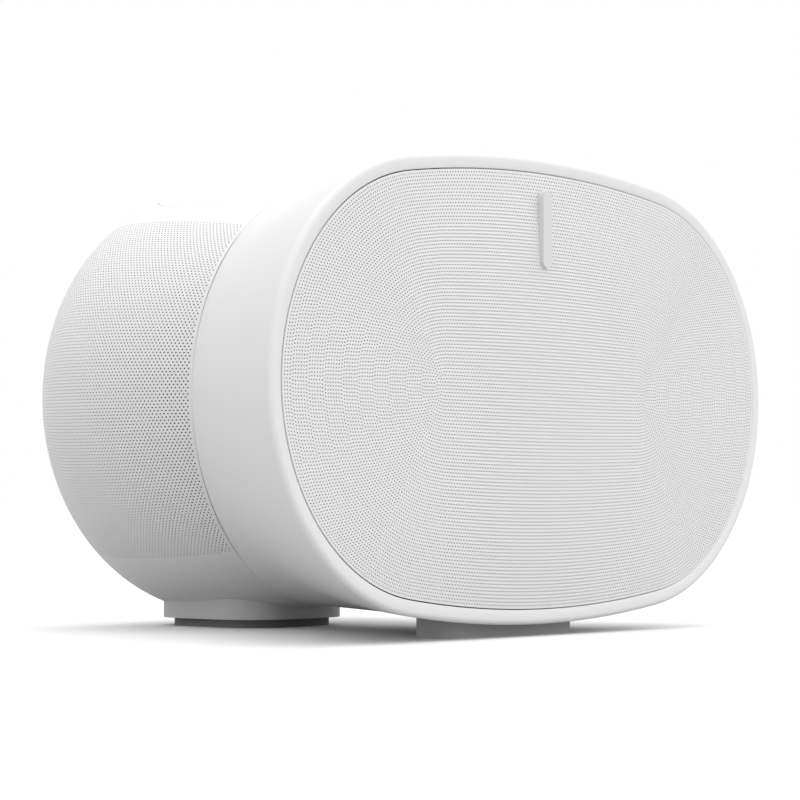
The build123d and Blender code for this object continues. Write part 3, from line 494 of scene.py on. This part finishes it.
# ============================================================ perforated sheets
class PerforationTree:
    """Geometry nodes that turn a net of hole centres into a closed perforated sheet."""

    HOLE_SHARE = "Hole Share"
    THICKNESS = "Sheet Thickness"
    MATERIAL = "Sheet Material"
    ZONE = "Zone"

    def __init__(self) -> None:
        """Build the node tree once."""
        tree = bpy.data.node_groups.new("perforated_sheet", "GeometryNodeTree")
        self.tree = tree
        for label, kind in (("Geometry", "Geometry"), (self.HOLE_SHARE, "Float"), (self.THICKNESS, "Float"),
                            (self.MATERIAL, "Material"), (self.ZONE, "Int")):
            tree.interface.new_socket(label, in_out="INPUT", socket_type="NodeSocket" + kind)
        tree.interface.new_socket("Geometry", in_out="OUTPUT", socket_type="NodeSocketGeometry")
        gate, out = add(tree, "NodeGroupInput"), add(tree, "NodeGroupOutput")
        dual = add(tree, "GeometryNodeDualMesh")
        dual.inputs["Keep Boundaries"].default_value = True
        zone = add(tree, "GeometryNodeInputNamedAttribute", data_type="INT")
        zone.inputs["Name"].default_value = "zone"
        other = add(tree, "FunctionNodeCompare", data_type="INT", operation="NOT_EQUAL")
        trim = add(tree, "GeometryNodeDeleteGeometry", domain="FACE")
        hole = add(tree, "GeometryNodeInputNamedAttribute", data_type="BOOLEAN")
        hole.inputs["Name"].default_value = "hole"
        inset = add(tree, "GeometryNodeExtrudeMesh", mode="FACES")
        inset.inputs["Offset Scale"].default_value = 0.0
        inset.inputs["Individual"].default_value = True
        shrink = add(tree, "GeometryNodeScaleElements", domain="FACE")
        clear = add(tree, "GeometryNodeDeleteGeometry", domain="FACE")
        thicken = add(tree, "GeometryNodeExtrudeMesh", mode="FACES")
        thicken.inputs["Individual"].default_value = False
        back = add(tree, "ShaderNodeMath", operation="MULTIPLY")
        back.inputs[1].default_value = -1.0
        flip = add(tree, "GeometryNodeFlipFaces")
        join = add(tree, "GeometryNodeJoinGeometry")
        weld = add(tree, "GeometryNodeMergeByDistance")
        weld.inputs["Distance"].default_value = WELD_DISTANCE
        paint = add(tree, "GeometryNodeSetMaterial")
        real = add(tree, "GeometryNodeRealizeInstances")
        wires = (
            (gate, "Geometry", dual, "Mesh"),
            (zone, "Attribute", other, "A"),
            (gate, self.ZONE, other, "B"),
            (dual, "Dual Mesh", trim, "Geometry"),
            (other, "Result", trim, "Selection"),
            (trim, "Geometry", inset, "Mesh"),
            (hole, "Attribute", inset, "Selection"),
            (inset, "Mesh", shrink, "Geometry"),
            (inset, "Top", shrink, "Selection"),
            (gate, self.HOLE_SHARE, shrink, "Scale"),
            (shrink, "Geometry", clear, "Geometry"),
            (inset, "Top", clear, "Selection"),
            (clear, "Geometry", thicken, "Mesh"),
            (gate, self.THICKNESS, back, 0),
            (back, 0, thicken, "Offset Scale"),
            (thicken, "Mesh", flip, "Mesh"),
            (flip, "Mesh", join, "Geometry"),
            (clear, "Geometry", join, "Geometry"),
            (join, "Geometry", weld, "Geometry"),
            (weld, "Geometry", paint, "Geometry"),
            (gate, self.MATERIAL, paint, "Material"),
            (paint, "Geometry", real, "Geometry"),
            (real, "Geometry", out, "Geometry"),
        )
        for giver, output, taker, entry in wires:
            tree.links.new(giver.outputs[output], taker.inputs[entry])

    def socket(self, name: str) -> str:
        """Identifier of a named input."""
        return next(item.identifier for item in self.tree.interface.items_tree
                    if item.name == name and item.in_out == "INPUT")

    def sheet(self, name: str, net: Net, faces: Sequence[Sequence[int]], zone: int, share: float,
              thickness: float, material: bpy.types.Material) -> bpy.types.Object:
        """Closed perforated sheet with a hole at each marked point of one zone of a net.

        Args:
            name: the piece's name.
            net: the net of hole centres.
            faces: the net's triangles.
            zone: the zone that this piece keeps.
            share: hole size as a share of its cell.
            thickness: sheet thickness in millimetres.
            material: the sheet's material.

        Returns:
            The sheet as a plain mesh object.
        """
        frame_net = make_object(name + "_net", np.array(net.points), faces, smooth=False)
        for label, kind, values in (("hole", "BOOLEAN", net.holes), ("zone", "INT", net.zones)):
            frame_net.data.attributes.new(label, kind, "POINT").data.foreach_set("value", values)
        modifier = frame_net.modifiers.new("perforate", "NODES")
        modifier.node_group = self.tree
        modifier[self.socket(self.HOLE_SHARE)] = share
        modifier[self.socket(self.THICKNESS)] = thickness * MM
        modifier[self.socket(self.MATERIAL)] = material
        modifier[self.socket(self.ZONE)] = zone
        piece = replace_object(frame_net, name)
        dress(piece, material)
        LOG.info("%s: %d faces", name, len(piece.data.polygons))
        return piece


# ============================================================ front body
@dataclass
class FrontBody:
    """Rim, tapering shell and domed grille. Sizes in millimetres."""

    rim_width: float = 5.0
    rim_round: float = 1.8
    rim_end_drop: float = 4.0
    taper_bulge: float = 3.0
    taper_end_drop: float = 4.5
    waist_half_width: float = 66.0
    waist_inset_z: float = 4.0
    wall: float = 3.0
    seam: float = 0.3
    dome: float = 2.4
    sheet: float = 1.0
    focus_x: float = 52.0
    row_pitch: float = 1.15
    hole_pitch: float = 1.33
    ring_step: float = 1.15
    border: float = 1.0
    hole_share: float = 0.43
    per_arc: int = 56
    taper_steps: int = 30
    rim_steps: int = 10
    inner_steps: int = 12
    tangent_share: float = 0.01     # of the taper's length, to read its direction at the rim
    rim_gap_share: float = 0.01     # of the taper's length, from the rounded rim to the first row
    pocket_depth: float = 4.2
    pocket_edge: tuple[tuple[float, float], ...] = ((0.0, 0.5), (0.12, 0.15), (0.4, 0.0))   # out, back
    low: Vector = field(init=False)
    high: Vector = field(init=False)

    def __post_init__(self) -> None:
        """Take the body's place from the frame."""
        self.low, self.high = (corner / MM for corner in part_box("front_shell"))
        self.rim_y = self.low.y
        self.waist_y = self.high.y
        self.half_width = (self.high.x - self.low.x) / 2
        self.half_height = (self.high.z - self.low.z) / 2
        self.centre_z = (self.high.z + self.low.z) / 2
        length = self.waist_y - self.rim_y
        # the bulged side is a parabola, so the bulge counts four times in its slope at the rim
        slope_x = (self.half_width - self.waist_half_width - 4 * self.taper_bulge) / length
        self.corner_a = self.half_width + self.corner_gain(slope_x)
        self.corner_b = self.half_height + self.corner_gain(self.waist_inset_z / length)
        self.grille = Oval(self.half_width - self.rim_width - self.seam,
                           self.half_height - self.rim_width - self.seam,
                           self.half_height - self.rim_width - self.seam - self.rim_end_drop)

    def corner_gain(self, slope: float) -> float:
        """How far the sharp corner lies outside the rounded edge."""
        edge = math.pi / 2 - math.atan(slope)
        return self.rim_round * (1 / math.tan(edge / 2) - 1)

    def taper(self, along: np.ndarray, inset: float) -> np.ndarray:
        """Points of the tapering shell.

        Args:
            along: places from 0 at the rim to 1 at the waist.
            inset: distance inside the outer surface.

        Returns:
            Array of places by outline points by (x, y, z).
        """
        waist_b = self.half_height - self.waist_inset_z
        middle_a = (self.corner_a + self.waist_half_width) / 2 + self.taper_bulge
        middle_b = (self.corner_b + waist_b) / 2
        rim_b = self.corner_b - inset
        ovals = [Oval(self.corner_a - inset, rim_b, rim_b - self.rim_end_drop),
                 Oval(middle_a - inset, middle_b - inset, middle_b - inset - self.taper_end_drop),
                 ring_oval(self.waist_half_width - inset, waist_b - inset)]
        lines = [oval.outline(self.per_arc) for oval in ovals]
        v = along[:, None, None]
        flat = (2 * (v - 0.5) * (v - 1) * lines[0] - 4 * v * (v - 1) * lines[1]
                + 2 * v * (v - 0.5) * lines[2])
        depth = self.rim_y + v[..., 0] * (self.waist_y - self.rim_y) + 0 * flat[..., 0]
        return np.stack([flat[..., 0], depth, flat[..., 1] + self.centre_z], -1)

    def rim_arc(self) -> np.ndarray:
        """Points of the rounded front edge, from the front plane round to the taper."""
        corner, near = self.taper(np.array([0.0, self.tangent_share]), 0.0)
        back = near - corner
        back /= np.linalg.norm(back, axis=1)[:, None]
        along = np.roll(corner, -1, 0) - np.roll(corner, 1, 0)
        inward = np.stack([-along[:, 2], 0 * along[:, 0], along[:, 0]], 1)
        inward /= np.linalg.norm(inward, axis=1)[:, None]
        half = np.arccos(np.clip((back * inward).sum(1), -1, 1)) / 2
        middle = (back + inward) / np.linalg.norm(back + inward, axis=1)[:, None]
        centre = corner + middle * (self.rim_round / np.sin(half))[:, None]
        start = corner + inward * (self.rim_round / np.tan(half))[:, None] - centre
        end = corner + back * (self.rim_round / np.tan(half))[:, None] - centre
        rows = []
        for step in range(self.rim_steps + 1):
            share = step / self.rim_steps
            blend = start * (1 - share) + end * share
            rows.append(centre + blend / np.linalg.norm(blend, axis=1)[:, None] * self.rim_round)
        return np.stack(rows)

    def build_shell(self) -> bpy.types.Object:
        """Closed moulding: pocket edge, rounded rim, taper, waist edge and inner wall."""
        pocket = Oval(self.half_width - self.rim_width, self.half_height - self.rim_width,
                      self.half_height - self.rim_width - self.rim_end_drop).outline(self.per_arc)
        rows = []
        for out, depth in ((0.0, self.pocket_depth), *self.pocket_edge):
            grow = 1 + out / self.half_height
            rows.append(np.stack([pocket[:, 0] * grow, 0 * pocket[:, 0] + self.rim_y + depth,
                                  pocket[:, 1] * grow + self.centre_z], 1))
        arc = self.rim_arc()
        length = self.waist_y - self.rim_y
        rows.extend(arc)
        start = (arc[-1][:, 1].max() - self.rim_y) / length
        along = np.linspace(start + self.rim_gap_share, 1.0, self.taper_steps)
        rows.extend(self.taper(along, 0.0))
        inner = np.linspace(1.0, self.pocket_depth / length, self.inner_steps)
        rows.extend(self.taper(inner, self.wall))
        points = np.concatenate(rows)
        faces = grid_faces(len(rows), 4 * self.per_arc, close_rows=True, close_columns=True)
        return make_object("front_shell_skin", points, [face[::-1] for face in faces])

    def dome_points(self, flat: np.ndarray) -> np.ndarray:
        """Lift flat (x, z) points onto the domed face.

        Args:
            flat: array of (x, z) measured from the grille's middle.

        Returns:
            Array of (x, y, z) in the speaker's frame.
        """
        radius = np.hypot(flat[:, 0], flat[:, 1])
        share = radius / self.grille.reach(np.arctan2(flat[:, 1], flat[:, 0] + TINY))
        depth = self.rim_y - self.dome * (1 - np.minimum(share, 1) ** 2)
        return np.stack([flat[:, 0], depth, flat[:, 1] + self.centre_z], 1)

    def edge_height(self, x: np.ndarray) -> np.ndarray:
        """Half height of the grille at each x between the two foci."""
        low = self.grille.half_height - self.grille.top_radius
        return low + np.sqrt(self.grille.top_radius ** 2 - x ** 2)

    def ring_row(self, level: int, levels: int) -> tuple[np.ndarray, np.ndarray]:
        """Places and flat points of one closed ring of holes.

        Args:
            level: the ring's number, 0 on the middle line.
            levels: number of the outermost ring, which is the grille's edge.

        Returns:
            Places from 0 to 4 round the ring, and (x, z) points.
        """
        inner = 1 - self.border / self.grille.half_height
        share = 1.0 if level == levels else inner * level / (levels - 1)
        count = round(2 * self.focus_x / self.hole_pitch)
        turn_count = max(2, round(math.pi * self.grille.half_height * share / self.ring_step))
        even = level % 2 == 0
        straight = (np.arange(count + 1) if even else np.arange(count) + 0.5) / count
        turn = (np.arange(1, turn_count) if even else np.arange(turn_count) + 0.5) / turn_count
        x = (1 - 2 * straight) * self.focus_x
        height = self.edge_height(x) * share
        angle = math.pi / 2 + turn * math.pi
        reach = self.focus_reach(angle - math.pi) * share
        end = np.stack([-self.focus_x + reach * np.cos(angle), reach * np.sin(angle)], 1)
        top = np.stack([x, height], 1)
        places = np.concatenate([straight, 1 + turn, 2 + straight, 3 + turn])
        return places, np.concatenate([top, end, -top, -end])

    def grille_net(self) -> Net:
        """Rings of holes from the middle line out to the grille's edge."""
        net = Net()
        levels = round((self.grille.half_height - self.border) / self.row_pitch) + 1
        places, flat = self.ring_row(0, levels)
        keep = places <= 1
        net.add_row(places[keep], self.dome_points(flat[keep]), np.ones(keep.sum()), np.ones(keep.sum()))
        line = net.rows[0]
        net.rows[0] = line + [(3 - place, number) for place, number in line[::-1]]
        for level in range(1, levels + 1):
            places, flat = self.ring_row(level, levels)
            zones = np.where(np.abs(flat[:, 0]) < self.focus_x, 1, np.where(flat[:, 0] < 0, 0, 2))
            zones = zones + 3 * (flat[:, 1] < 0)
            net.add_row(places, self.dome_points(flat), np.full(len(places), level < levels), zones)
        return net

    def focus_reach(self, angle: np.ndarray) -> np.ndarray:
        """Distance from a focus to the grille's outline along each angle."""
        low, high = np.zeros_like(angle), np.full_like(angle, 2 * self.grille.half_width)
        for _ in range(HALVINGS):
            middle = (low + high) / 2
            x = self.focus_x + middle * np.cos(angle)
            z = middle * np.sin(angle)
            inside = np.hypot(x, z) < self.grille.reach(np.arctan2(z, x))
            low, high = np.where(inside, middle, low), np.where(inside, high, middle)
        return low

    def build_grille(self, tree: PerforationTree) -> list[bpy.types.Object]:
        """The domed sheet in six parts that meet cell to cell."""
        net = self.grille_net()
        faces = net.faces(np.array([0.0, -1.0, 0.0]), 4.0)
        names = [f"front_grille_{height}_{part}"
                 for height in ("upper", "lower") for part in ("left", "middle", "right")]
        return [tree.sheet(name, net, faces, zone, self.hole_share, self.sheet, WHITE_GRILLE.material())
                for zone, name in enumerate(names)]


# ============================================================ rear drum
@dataclass
class RearDrum:
    """Perforated drum behind the waist. Sizes in millimetres, angles in degrees from +X."""

    half_width: float = 78.5
    waist_half_width: float = 66.0
    waist_inset_z: float = 4.0
    widest_y: float = 56.0
    back_round: float = 34.0
    wall: float = 2.5
    side_low: float = -51.0
    side_high: float = 57.0
    side_back: float = 82.0
    hole_low: float = -47.0
    hole_high: float = 53.0
    hole_near: float = 1.2
    hole_far: float = 4.0
    row_pitch: float = 1.15
    hole_pitch: float = 1.33
    hole_share: float = 0.42
    sheet: float = 0.9
    liner_gap: float = 1.4
    liner_thickness: float = 0.4
    liner_start: float = 0.5
    liner_past: float = 1.0         # behind the back edge of the perforated side
    liner_margin: float = 1.0       # degrees past each end of the perforated side
    liner_rows: int = 40
    liner_columns: int = 60
    columns: int = 240
    barrel_rows: int = 50
    turn_rows: int = 24
    back_shares: tuple[float, ...] = (0.8, 0.6, 0.4, 0.2)   # rings that close the flat back
    panel_corner: float = 20.7
    back_corner: float = 12.0
    corner_steps: int = 12
    cutter_low: float = 20.0        # above the middle, for the opening in the top
    cutter_high: float = 120.0
    cutter_reach: float = 12.0      # each way from the back face, for the opening there
    sharp_angle: float = 0.35       # radians
    seam: float = 0.3

    def __post_init__(self) -> None:
        """Take the drum's place from the frame."""
        low, high = (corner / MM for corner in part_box("rear_shell"))
        front_low, front_high = (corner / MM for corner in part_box("front_shell"))
        self.waist_y = low.y
        self.back_y = high.y
        self.centre_z = (front_low.z + front_high.z) / 2
        self.half_height = (front_high.z - front_low.z) / 2

    def section(self, y: np.ndarray) -> tuple[np.ndarray, np.ndarray]:
        """Half width and half height of the drum at each depth."""
        flare = np.clip((self.widest_y - y) / (self.widest_y - self.waist_y), 0, 1) ** 2
        turn = np.clip((y - self.back_y + self.back_round) / self.back_round, 0, 1)
        drop = self.back_round * (1 - np.sqrt(1 - turn ** 2))
        return (self.half_width - (self.half_width - self.waist_half_width) * flare - drop,
                self.half_height - self.waist_inset_z * flare - drop)

    def points(self, y: np.ndarray, angle: np.ndarray, inset: float = 0.0) -> np.ndarray:
        """Points on the drum.

        Args:
            y: depths.
            angle: directions round the drum in radians, from +X.
            inset: distance inside the outer surface.

        Returns:
            Array of (x, y, z).
        """
        a, b = self.section(y)
        return np.stack([(a - inset) * np.cos(angle), y + 0 * angle,
                         (b - inset) * np.sin(angle) + self.centre_z], -1)

    def side_net(self, side: int) -> Net:
        """Net of rows that run front to back over one side of the drum, -1 left or +1 right."""
        net = Net()
        sweep = math.radians(self.side_high - self.side_low)
        levels = round(sweep * (self.half_width + self.half_height) / 2 / self.row_pitch)
        length = self.side_back - self.waist_y
        count = round(length / self.hole_pitch)
        for level in range(levels + 1):
            angle = math.radians(self.side_low) + sweep * level / levels
            place = np.arange(count + 1) / count
            if level % 2:
                place = np.concatenate([[0.0], (np.arange(count) + 0.5) / count, [1.0]])
            y = self.waist_y + length * place
            mark = (y > self.waist_y + self.hole_near) & (y < self.side_back - self.hole_far)
            mark &= self.hole_low < math.degrees(angle) < self.hole_high
            direction = angle if side > 0 else math.pi - angle
            zones = np.full(len(y), 2 * level // (levels + 1))
            net.add_row(place, self.points(y, np.full_like(y, direction)), mark, zones)
        return net

    def build_sides(self, tree: PerforationTree) -> list[bpy.types.Object]:
        """Both perforated sides, left first."""
        pieces = []
        for side, name in ((-1, "left_side"), (1, "right_side")):
            net = self.side_net(side)
            faces = net.faces(np.array([side, 0.0, 0.0]))
            for zone, height in enumerate(("lower", "upper")):
                pieces.append(tree.sheet(f"{name}_{height}_skin", net, faces, zone,
                                         self.hole_share, self.sheet, WHITE_GRILLE.material()))
        return pieces

    def thicken(self, piece: bpy.types.Object, thickness: float) -> None:
        """Give a skin a wall on its inner side."""
        modifier = piece.modifiers.new("wall", "SOLIDIFY")
        modifier.thickness = thickness * MM
        modifier.offset = -1.0

    def build_liners(self) -> bpy.types.Object:
        """Dust mesh behind both perforated sides."""
        points, faces = [], []
        depths = np.linspace(self.waist_y + self.liner_start, self.side_back + self.liner_past,
                             self.liner_rows)
        for side in (-1, 1):
            angle = np.radians(np.linspace(self.side_low - self.liner_margin,
                                           self.side_high + self.liner_margin, self.liner_columns))
            angle = angle if side > 0 else math.pi - angle
            first = sum(len(part) for part in points)
            rows = [self.points(np.full_like(angle, y), angle, self.liner_gap) for y in depths]
            points.append(np.concatenate(rows))
            for face in grid_faces(len(depths), self.liner_columns):
                face = face if side < 0 else face[::-1]
                faces.append(tuple(number + first for number in face[::-1]))
        piece = make_object("side_liners", np.concatenate(points), faces)
        self.thicken(piece, self.liner_thickness)
        piece = replace_object(piece, "side_dust_liners")
        dress(piece, DUST_MESH.material())
        return piece

    def prism(self, node: str, corner: float, upright: bool) -> bpy.types.Object:
        """Cutter with the rounded outline of a fitted panel.

        Args:
            node: the panel's node.
            corner: corner radius.
            upright: True to cut down from above, False to cut in from behind.

        Returns:
            The cutter.
        """
        low, high = (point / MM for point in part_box(node))
        middle = (low + high) / 2
        half = (high - low) / 2
        tall = half.y if upright else half.z
        outline = []
        for quarter, (sx, sy) in enumerate(((1, 1), (-1, 1), (-1, -1), (1, -1))):
            for step in np.linspace(0, math.pi / 2, self.corner_steps):
                angle = quarter * math.pi / 2 + step
                outline.append((sx * (half.x + self.seam - corner) + corner * math.cos(angle),
                                sy * (tall + self.seam - corner) + corner * math.sin(angle)))
        flat = np.array(outline)
        if upright:
            ends = (self.centre_z + self.cutter_low, self.centre_z + self.cutter_high)
        else:
            ends = (self.back_y - self.cutter_reach, self.back_y + self.cutter_reach)
        rings = []
        for end in ends:
            if upright:
                rings.append(np.stack([flat[:, 0], flat[:, 1] + middle.y, 0 * flat[:, 0] + end], 1))
            else:
                rings.append(np.stack([flat[:, 0], 0 * flat[:, 0] + end, flat[:, 1] + middle.z], 1))
        count = len(flat)
        faces = grid_faces(2, count, close_columns=True)
        faces += [tuple(range(count))[::-1], tuple(range(count, 2 * count))]
        if not upright:
            faces = [face[::-1] for face in faces]
        return make_object("cutter_" + node, np.concatenate(rings), faces, smooth=False)

    def build_shell(self) -> bpy.types.Object:
        """Plain top, bottom and back of the drum with openings for the two fitted panels."""
        angle = np.radians(np.arange(self.columns) * 360 / self.columns)
        barrel = np.linspace(self.waist_y, self.side_back, self.barrel_rows)
        start = math.asin((self.side_back - self.back_y + self.back_round) / self.back_round)
        turn = np.linspace(start, math.pi / 2, self.turn_rows)[1:]
        depths = np.concatenate([barrel, self.back_y - self.back_round + self.back_round * np.sin(turn)])
        rows = [self.points(np.full_like(angle, y), angle) for y in depths]
        middle = np.array([0.0, self.back_y, self.centre_z])
        rows += [middle + (rows[-1] - middle) * share for share in self.back_shares]
        centre = len(rows) * self.columns
        low, high = self.side_low % 360, self.side_high
        faces = []
        for face in grid_faces(len(rows), self.columns, close_columns=True):
            degrees = (face[0] % self.columns + 0.5) * 360 / self.columns
            mirrored = (180 - degrees) % 360
            beside = not high < degrees < low or not high < mirrored < low
            if not (beside and face[0] // self.columns < len(barrel) - 1):
                faces.append(face)
        last = (len(rows) - 1) * self.columns
        faces += [(last + k, last + (k + 1) % self.columns, centre) for k in range(self.columns)]
        piece = make_object("drum", np.concatenate(rows + [middle[None, :]]), [face[::-1] for face in faces])
        self.thicken(piece, self.wall)
        cutters = [self.prism("touch_panel", self.panel_corner, True),
                   self.prism("back_panel", self.back_corner, False)]
        for cutter in cutters:
            cut = piece.modifiers.new("opening", "BOOLEAN")
            cut.operation = "DIFFERENCE"
            cut.object = cutter
            cut.solver = "EXACT"
        piece = replace_object(piece, "rear_shell_skin")
        for cutter in cutters:
            bpy.data.objects.remove(cutter)
        piece.data.set_sharp_from_angle(angle=self.sharp_angle)
        dress(piece, WHITE_SHELL.material())
        return piece


# ============================================================ stage
@dataclass(frozen=True)
class Lamp:
    """Round soft lamp. Place and size in metres, power in watts."""

    name: str
    place: tuple[float, float, float]
    size: float
    power: float


@dataclass
class Studio:
    """Pale floor, soft light and the camera. Sizes in metres, angles in degrees."""

    eye: tuple[float, float, float] = (-0.7286, -0.6712, 0.0444)
    yaw: float = 48.53
    pitch: float = 2.12
    lens: float = 125.3             # millimetres, as is the sensor
    sensor: float = 36.0
    clip_near: float = 0.05
    clip_far: float = 100.0
    sky_level: float = 0.76
    sky_slope: float = 0.6
    floor_half: float = 30.0
    floor_seen: float = 0.96
    floor_unseen: float = 0.5
    floor_roughness: float = 0.9
    lamp_target: tuple[float, float, float] = (0, 0, 0.08)
    lamps: tuple[Lamp, ...] = (Lamp("front", (0.25, -1.5, 0.75), 1.3, 4.3),
                               Lamp("top", (0.1, 0.1, 1.8), 1.2, 5.0))

    def build_floor(self) -> None:
        """Wide floor, pale to the camera and mid grey to the light that it sends back up."""
        size = self.floor_half
        points = np.array([[-size, -size, 0], [size, -size, 0], [size, size, 0], [-size, size, 0]]) / MM
        floor = make_object("floor", points, [(0, 1, 2, 3)])
        material = bpy.data.materials.new("pale_floor")
        material.use_nodes = True
        tree = material.node_tree
        seen = tree.nodes["Principled BSDF"]
        seen.inputs["Base Color"].default_value = grey(self.floor_seen)
        seen.inputs["Roughness"].default_value = self.floor_roughness
        seen.inputs["Specular IOR Level"].default_value = 0.0
        unseen = add(tree, "ShaderNodeBsdfDiffuse")
        unseen.inputs["Color"].default_value = grey(self.floor_unseen)
        path = add(tree, "ShaderNodeLightPath")
        mix = add(tree, "ShaderNodeMixShader")
        tree.links.new(path.outputs["Is Camera Ray"], mix.inputs[0])
        tree.links.new(unseen.outputs[0], mix.inputs[1])
        tree.links.new(seen.outputs[0], mix.inputs[2])
        tree.links.new(mix.outputs[0], tree.nodes["Material Output"].inputs["Surface"])
        floor.data.materials.append(material)

    def build_light(self) -> None:
        """White surroundings and two large soft lamps."""
        world = bpy.data.worlds.new("studio")
        bpy.context.scene.world = world
        world.use_nodes = True
        tree = world.node_tree
        background = tree.nodes["Background"]
        background.inputs["Strength"].default_value = 1.0
        place = add(tree, "ShaderNodeTexCoord").outputs["Generated"]
        split = add(tree, "ShaderNodeSeparateXYZ")
        tree.links.new(place, split.inputs[0])
        level = add(tree, "ShaderNodeMapRange")
        level.inputs["From Min"].default_value = -1.0
        level.inputs["To Min"].default_value = self.sky_level - self.sky_slope
        level.inputs["To Max"].default_value = self.sky_level + self.sky_slope
        tree.links.new(split.outputs["Z"], level.inputs["Value"])
        path = add(tree, "ShaderNodeLightPath")
        seen = add(tree, "ShaderNodeMix", data_type="FLOAT")
        seen.inputs["B"].default_value = 1.0
        tree.links.new(path.outputs["Is Camera Ray"], seen.inputs["Factor"])
        tree.links.new(level.outputs["Result"], seen.inputs["A"])
        tree.links.new(seen.outputs["Result"], background.inputs["Color"])
        for lamp in self.lamps:
            light = bpy.data.lights.new(lamp.name, "AREA")
            light.shape = "DISK"
            light.size = lamp.size
            light.energy = lamp.power
            holder = bpy.data.objects.new(lamp.name, light)
            holder.location = lamp.place
            aim = Vector(self.lamp_target) - Vector(lamp.place)
            holder.rotation_euler = aim.to_track_quat("-Z", "Y").to_euler()
            bpy.context.scene.collection.objects.link(holder)
        bpy.context.scene.view_settings.view_transform = "Standard"

    def build_camera(self) -> None:
        """Long lens low in front of the left end."""
        camera = bpy.data.cameras.new("camera")
        camera.lens = self.lens
        camera.sensor_width = self.sensor
        camera.clip_start = self.clip_near
        camera.clip_end = self.clip_far
        view = bpy.data.objects.new("camera", camera)
        view.location = self.eye
        view.rotation_euler = (math.radians(90 + self.pitch), 0, -math.radians(self.yaw))
        bpy.context.scene.collection.objects.link(view)
        bpy.context.scene.camera = view


def dress_nodes() -> None:
    """Give every CAD node the finish of its material slot."""
    slots = {row["node"]: row["material_slot"] for row in frame["record"]["subparts"]}
    for name, node in frame["nodes"].items():
        dress(node, FINISHES[slots[name]].material())


def place_piece(piece: bpy.types.Object, node: str) -> None:
    """Fix a piece to the casing in place of a CAD node.

    Args:
        piece: the finished piece.
        node: the node that it stands for.
    """
    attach(piece, "casing")
    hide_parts(node)
    LOG.info("%s stands for %s", piece.name, node)


def main() -> None:
    """Build the speaker's looks around the frame."""
    logging.basicConfig(level=logging.INFO, format="%(name)s: %(message)s")
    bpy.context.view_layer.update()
    dress_nodes()
    tree = PerforationTree()
    front = FrontBody()
    drum = RearDrum()
    shell = front.build_shell()
    dress(shell, WHITE_SHELL.material())
    place_piece(shell, "front_shell")
    for piece in front.build_grille(tree):
        place_piece(piece, "front_grille")
    for piece in drum.build_sides(tree):
        place_piece(piece, piece.name.split("_")[0] + "_side_grille")
    place_piece(drum.build_liners(), "side_dust_meshes")
    place_piece(drum.build_shell(), "rear_shell")
    studio = Studio()
    studio.build_floor()
    studio.build_light()
    studio.build_camera()


if __name__ == "__main__":
    main()
